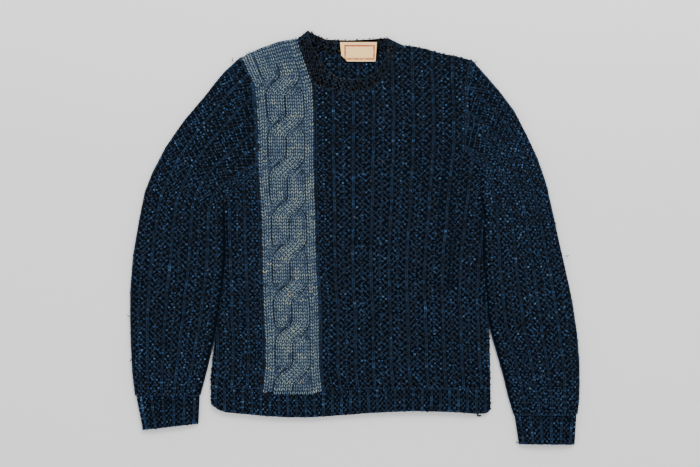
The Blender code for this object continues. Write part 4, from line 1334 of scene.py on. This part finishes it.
navyPieces = {
    "back": ("back_cloth", "back_loops", insidePoints, "navy", "navy_knit", (0.490, 0.612), 0.2527, ["hem_back"]),
    "front_main": ("front_cloth", "front_loops", frontPoints, "navy", "navy_knit", (0.312, 0.602), 0.1587, ["back"]),
    "front_side": ("side_cloth", "side_loops", sidePoints, "navy", "navy_knit", (0.096, 0.388), 0.0263, ["back"]),
    "hem_front": (
        "hem_front_cloth", "hem_loops", hemPoints, "navy", "navy_knit", (0.490, 0.052), 0.0208, ["hem_back"]
    ),
    "hem_back": ("hem_back_cloth", None, None, "navy", "navy_knit", (0.490, 0.052), 0.0214, []),
    "sleeve_right": (
        "sleeve_right_cloth", "sleeve_right_loops", rightSleevePoints, "navy", "navy_knit", (0.320, 0.660), 0.1550, []
    ),
    "sleeve_left": (
        "sleeve_left_cloth", "sleeve_left_loops", leftSleevePoints, "navy", "navy_knit", (0.300, 0.670), 0.1379, []
    ),
    "cuff_right": (
        "cuff_right_cloth", "cuff_right_loops", rightCuffPoints, "navy", "navy_knit", (0.215, 0.056), 0.0109, []
    ),
    "cuff_left": (
        "cuff_left_cloth", "cuff_left_loops", leftCuffPoints, "navy", "navy_knit", (0.210, 0.052), 0.0101, []
    ),
    "neckband": (
        "neckband_cloth", "neckband_loops", neckPoints, "worn", "worn_knit", (0.470, 0.026), 0.0093, ["back"]
    ),
}
for nodeName, (clothName, loopsName, points, yarn, slot, flat, area, restsOn) in navyPieces.items():
    cloth = clothFrom(nodeName, clothName)
    pieces = [settled(loopsName, points, yarns[yarn])] if points else []
    declare(cloth, nodeName, yarn, flat, area, pieces)

strip = stripCloth()
declare(
    strip, "cable_panel", "marl", (0.108, 0.620), 0.0586,
    [settled("cable_strip_loops", stripPoints, yarns["marl"], 0.20)]
)

# odd fibres of other colours, spun in or caught in the wool
flecks = {
    "beige": {
        "colour": "#6a5545", "places": ((0.0474, 0.1299), (0.0264, 0.0957), (-0.0025, 0.0336)),
        "size": (0.0016, 0.0036), "turn": (0.8, -0.6)
    },
    "orange": {"colour": "#b87a3a", "places": ((-0.0910, -0.2548),), "size": (0.0019, 0.0026), "turn": (0.3, 1.0)},
}
for name, facts in flecks.items():
    material, _, _ = newMaterial(name + " wool fibre", {"Base Color": linear(facts["colour"]), "Roughness": 0.9})
    points = newPoints()
    for place in facts["places"]:
        nodeName = "front_main" if name == "beige" else "cable_panel"
        lay(points, nodeName, place, facts["turn"], (facts["size"][0], facts["size"][1], 0.0022), "link", 0.5, 0.0030)
    settled("flecks_" + name, points, material)
print("cloth done")

# The label: a cream satin-woven tape with a faded red edge line, sewn on along its sides

labelFacts = {
    "line": "#b0341f",
    "ground": "#ffd38c",
    "insets": ((0.0089, 0.0050), (0.0044, 0.0063)),  # wearer's right and left, bottom and top
    "lineWidth": 0.0018,
    "strength": 2.1,
    "thread": 0.0007,
}


def labelMaterial():
    material, tree, shader = newMaterial("woven cotton label", {"Roughness": 0.62, "Sheen Weight": 0.02})
    place = addNode(tree, "ShaderNodeTexCoord")
    xyz = addNode(tree, "ShaderNodeSeparateXYZ", {"Vector": place.outputs["Object"]})
    low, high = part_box("label")
    distances = []
    for axis, letter in ((0, "X"), (1, "Y")):
        insets = labelFacts["insets"][axis]
        for limit, sign in ((low[axis] + insets[0], 1.0), (high[axis] - insets[1], -1.0)):
            away = addNode(tree, "ShaderNodeMath", {0: xyz.outputs[letter], 1: limit}, operation="SUBTRACT")
            distances.append(addNode(tree, "ShaderNodeMath", {0: away.outputs[0], 1: sign}, operation="MULTIPLY"))
    nearest = distances[0]
    for other in distances[1:]:
        nearest = addNode(tree, "ShaderNodeMath", {0: nearest.outputs[0], 1: other.outputs[0]}, operation="MINIMUM")
    wander = addNode(tree, "ShaderNodeTexNoise", {"Vector": place.outputs["Object"], "Scale": 160.0, "Detail": 2.0})
    size = addNode(tree, "ShaderNodeMath", {0: nearest.outputs[0]}, operation="ABSOLUTE")
    line = addNode(
        tree,
        "ShaderNodeMapRange",
        {
            "Value": size.outputs[0], 1: 0.4 * labelFacts["lineWidth"],
            2: labelFacts["lineWidth"], 3: labelFacts["strength"], 4: 0.0
        },
    )
    faded = addNode(
        tree, "ShaderNodeMath", {0: line.outputs["Result"], 1: wander.outputs["Fac"]},
        operation="MULTIPLY", use_clamp=True
    )
    mixed = addNode(
        tree, "ShaderNodeMix",
        {"Factor": faded.outputs[0], 6: linear(labelFacts["ground"]), 7: linear(labelFacts["line"])}, data_type="RGBA"
    )
    threads = addNode(
        tree, "ShaderNodeTexWave",
        {"Vector": place.outputs["Object"], "Scale": 0.31 / labelFacts["thread"], "Distortion": 0.3},
        bands_direction="X"
    )
    bump = addNode(tree, "ShaderNodeBump", {"Height": threads.outputs["Fac"], "Strength": 0.25, "Distance": 0.0003})
    tree.links.new(mixed.outputs[2], shader.inputs["Base Color"])
    tree.links.new(bump.outputs["Normal"], shader.inputs["Normal"])
    return material


label = nodes["label"]
label.data.materials.clear()
label.data.materials.append(labelMaterial())

for template in loops.values():
    bpy.data.objects.remove(template)

# Studio: a pale table and soft light from above, a little stronger from the top of the picture

studio = {"world": 1.10, "key": 52.0, "fill": 11.0}

bpy.ops.mesh.primitive_plane_add(size=8, location=(0, 0, -0.0003))
floor = bpy.context.object
floor.name = "table"
floorMaterial, floorTree, floorShader = newMaterial("painted board, matte", {"Roughness": 0.9})
floorPlace = addNode(floorTree, "ShaderNodeTexCoord")
floorXyz = addNode(floorTree, "ShaderNodeSeparateXYZ", {"Vector": floorPlace.outputs["Object"]})
# painted light: the table's colour turns lighter towards the top of the picture
floorPaintedLight = addNode(
    floorTree, "ShaderNodeMapRange", {"Value": floorXyz.outputs["Y"], 1: 0.10, 2: 0.45, 3: 0.0, 4: 1.0}
)
floorMix = addNode(
    floorTree, "ShaderNodeMix",
    {"Factor": floorPaintedLight.outputs["Result"], 6: linear("#efeff0"), 7: linear("#fafafa")}, data_type="RGBA"
)
floorTree.links.new(floorMix.outputs[2], floorShader.inputs["Base Color"])
floor.data.materials.append(floorMaterial)

world = bpy.data.worlds.new("studio")
world.use_nodes = True
world.node_tree.nodes["Background"].inputs["Color"].default_value = (1, 1, 1, 1)
world.node_tree.nodes["Background"].inputs["Strength"].default_value = studio["world"]
scene.world = world


def softLight(name, place, size, power):
    data = bpy.data.lights.new(name, "AREA")
    data.shape = "DISK"
    data.size = size
    data.energy = power
    lamp = bpy.data.objects.new(name, data)
    lamp.location = place
    lamp.rotation_euler = Vector((-place[0], -place[1], -place[2])).to_track_quat("-Z", "Y").to_euler()
    scene.collection.objects.link(lamp)


softLight("key", (0.7, 1.7, 2.2), 1.2, studio["key"])
softLight("fill", (-1.6, -0.6, 2.2), 2.0, studio["fill"])
print("studio set")
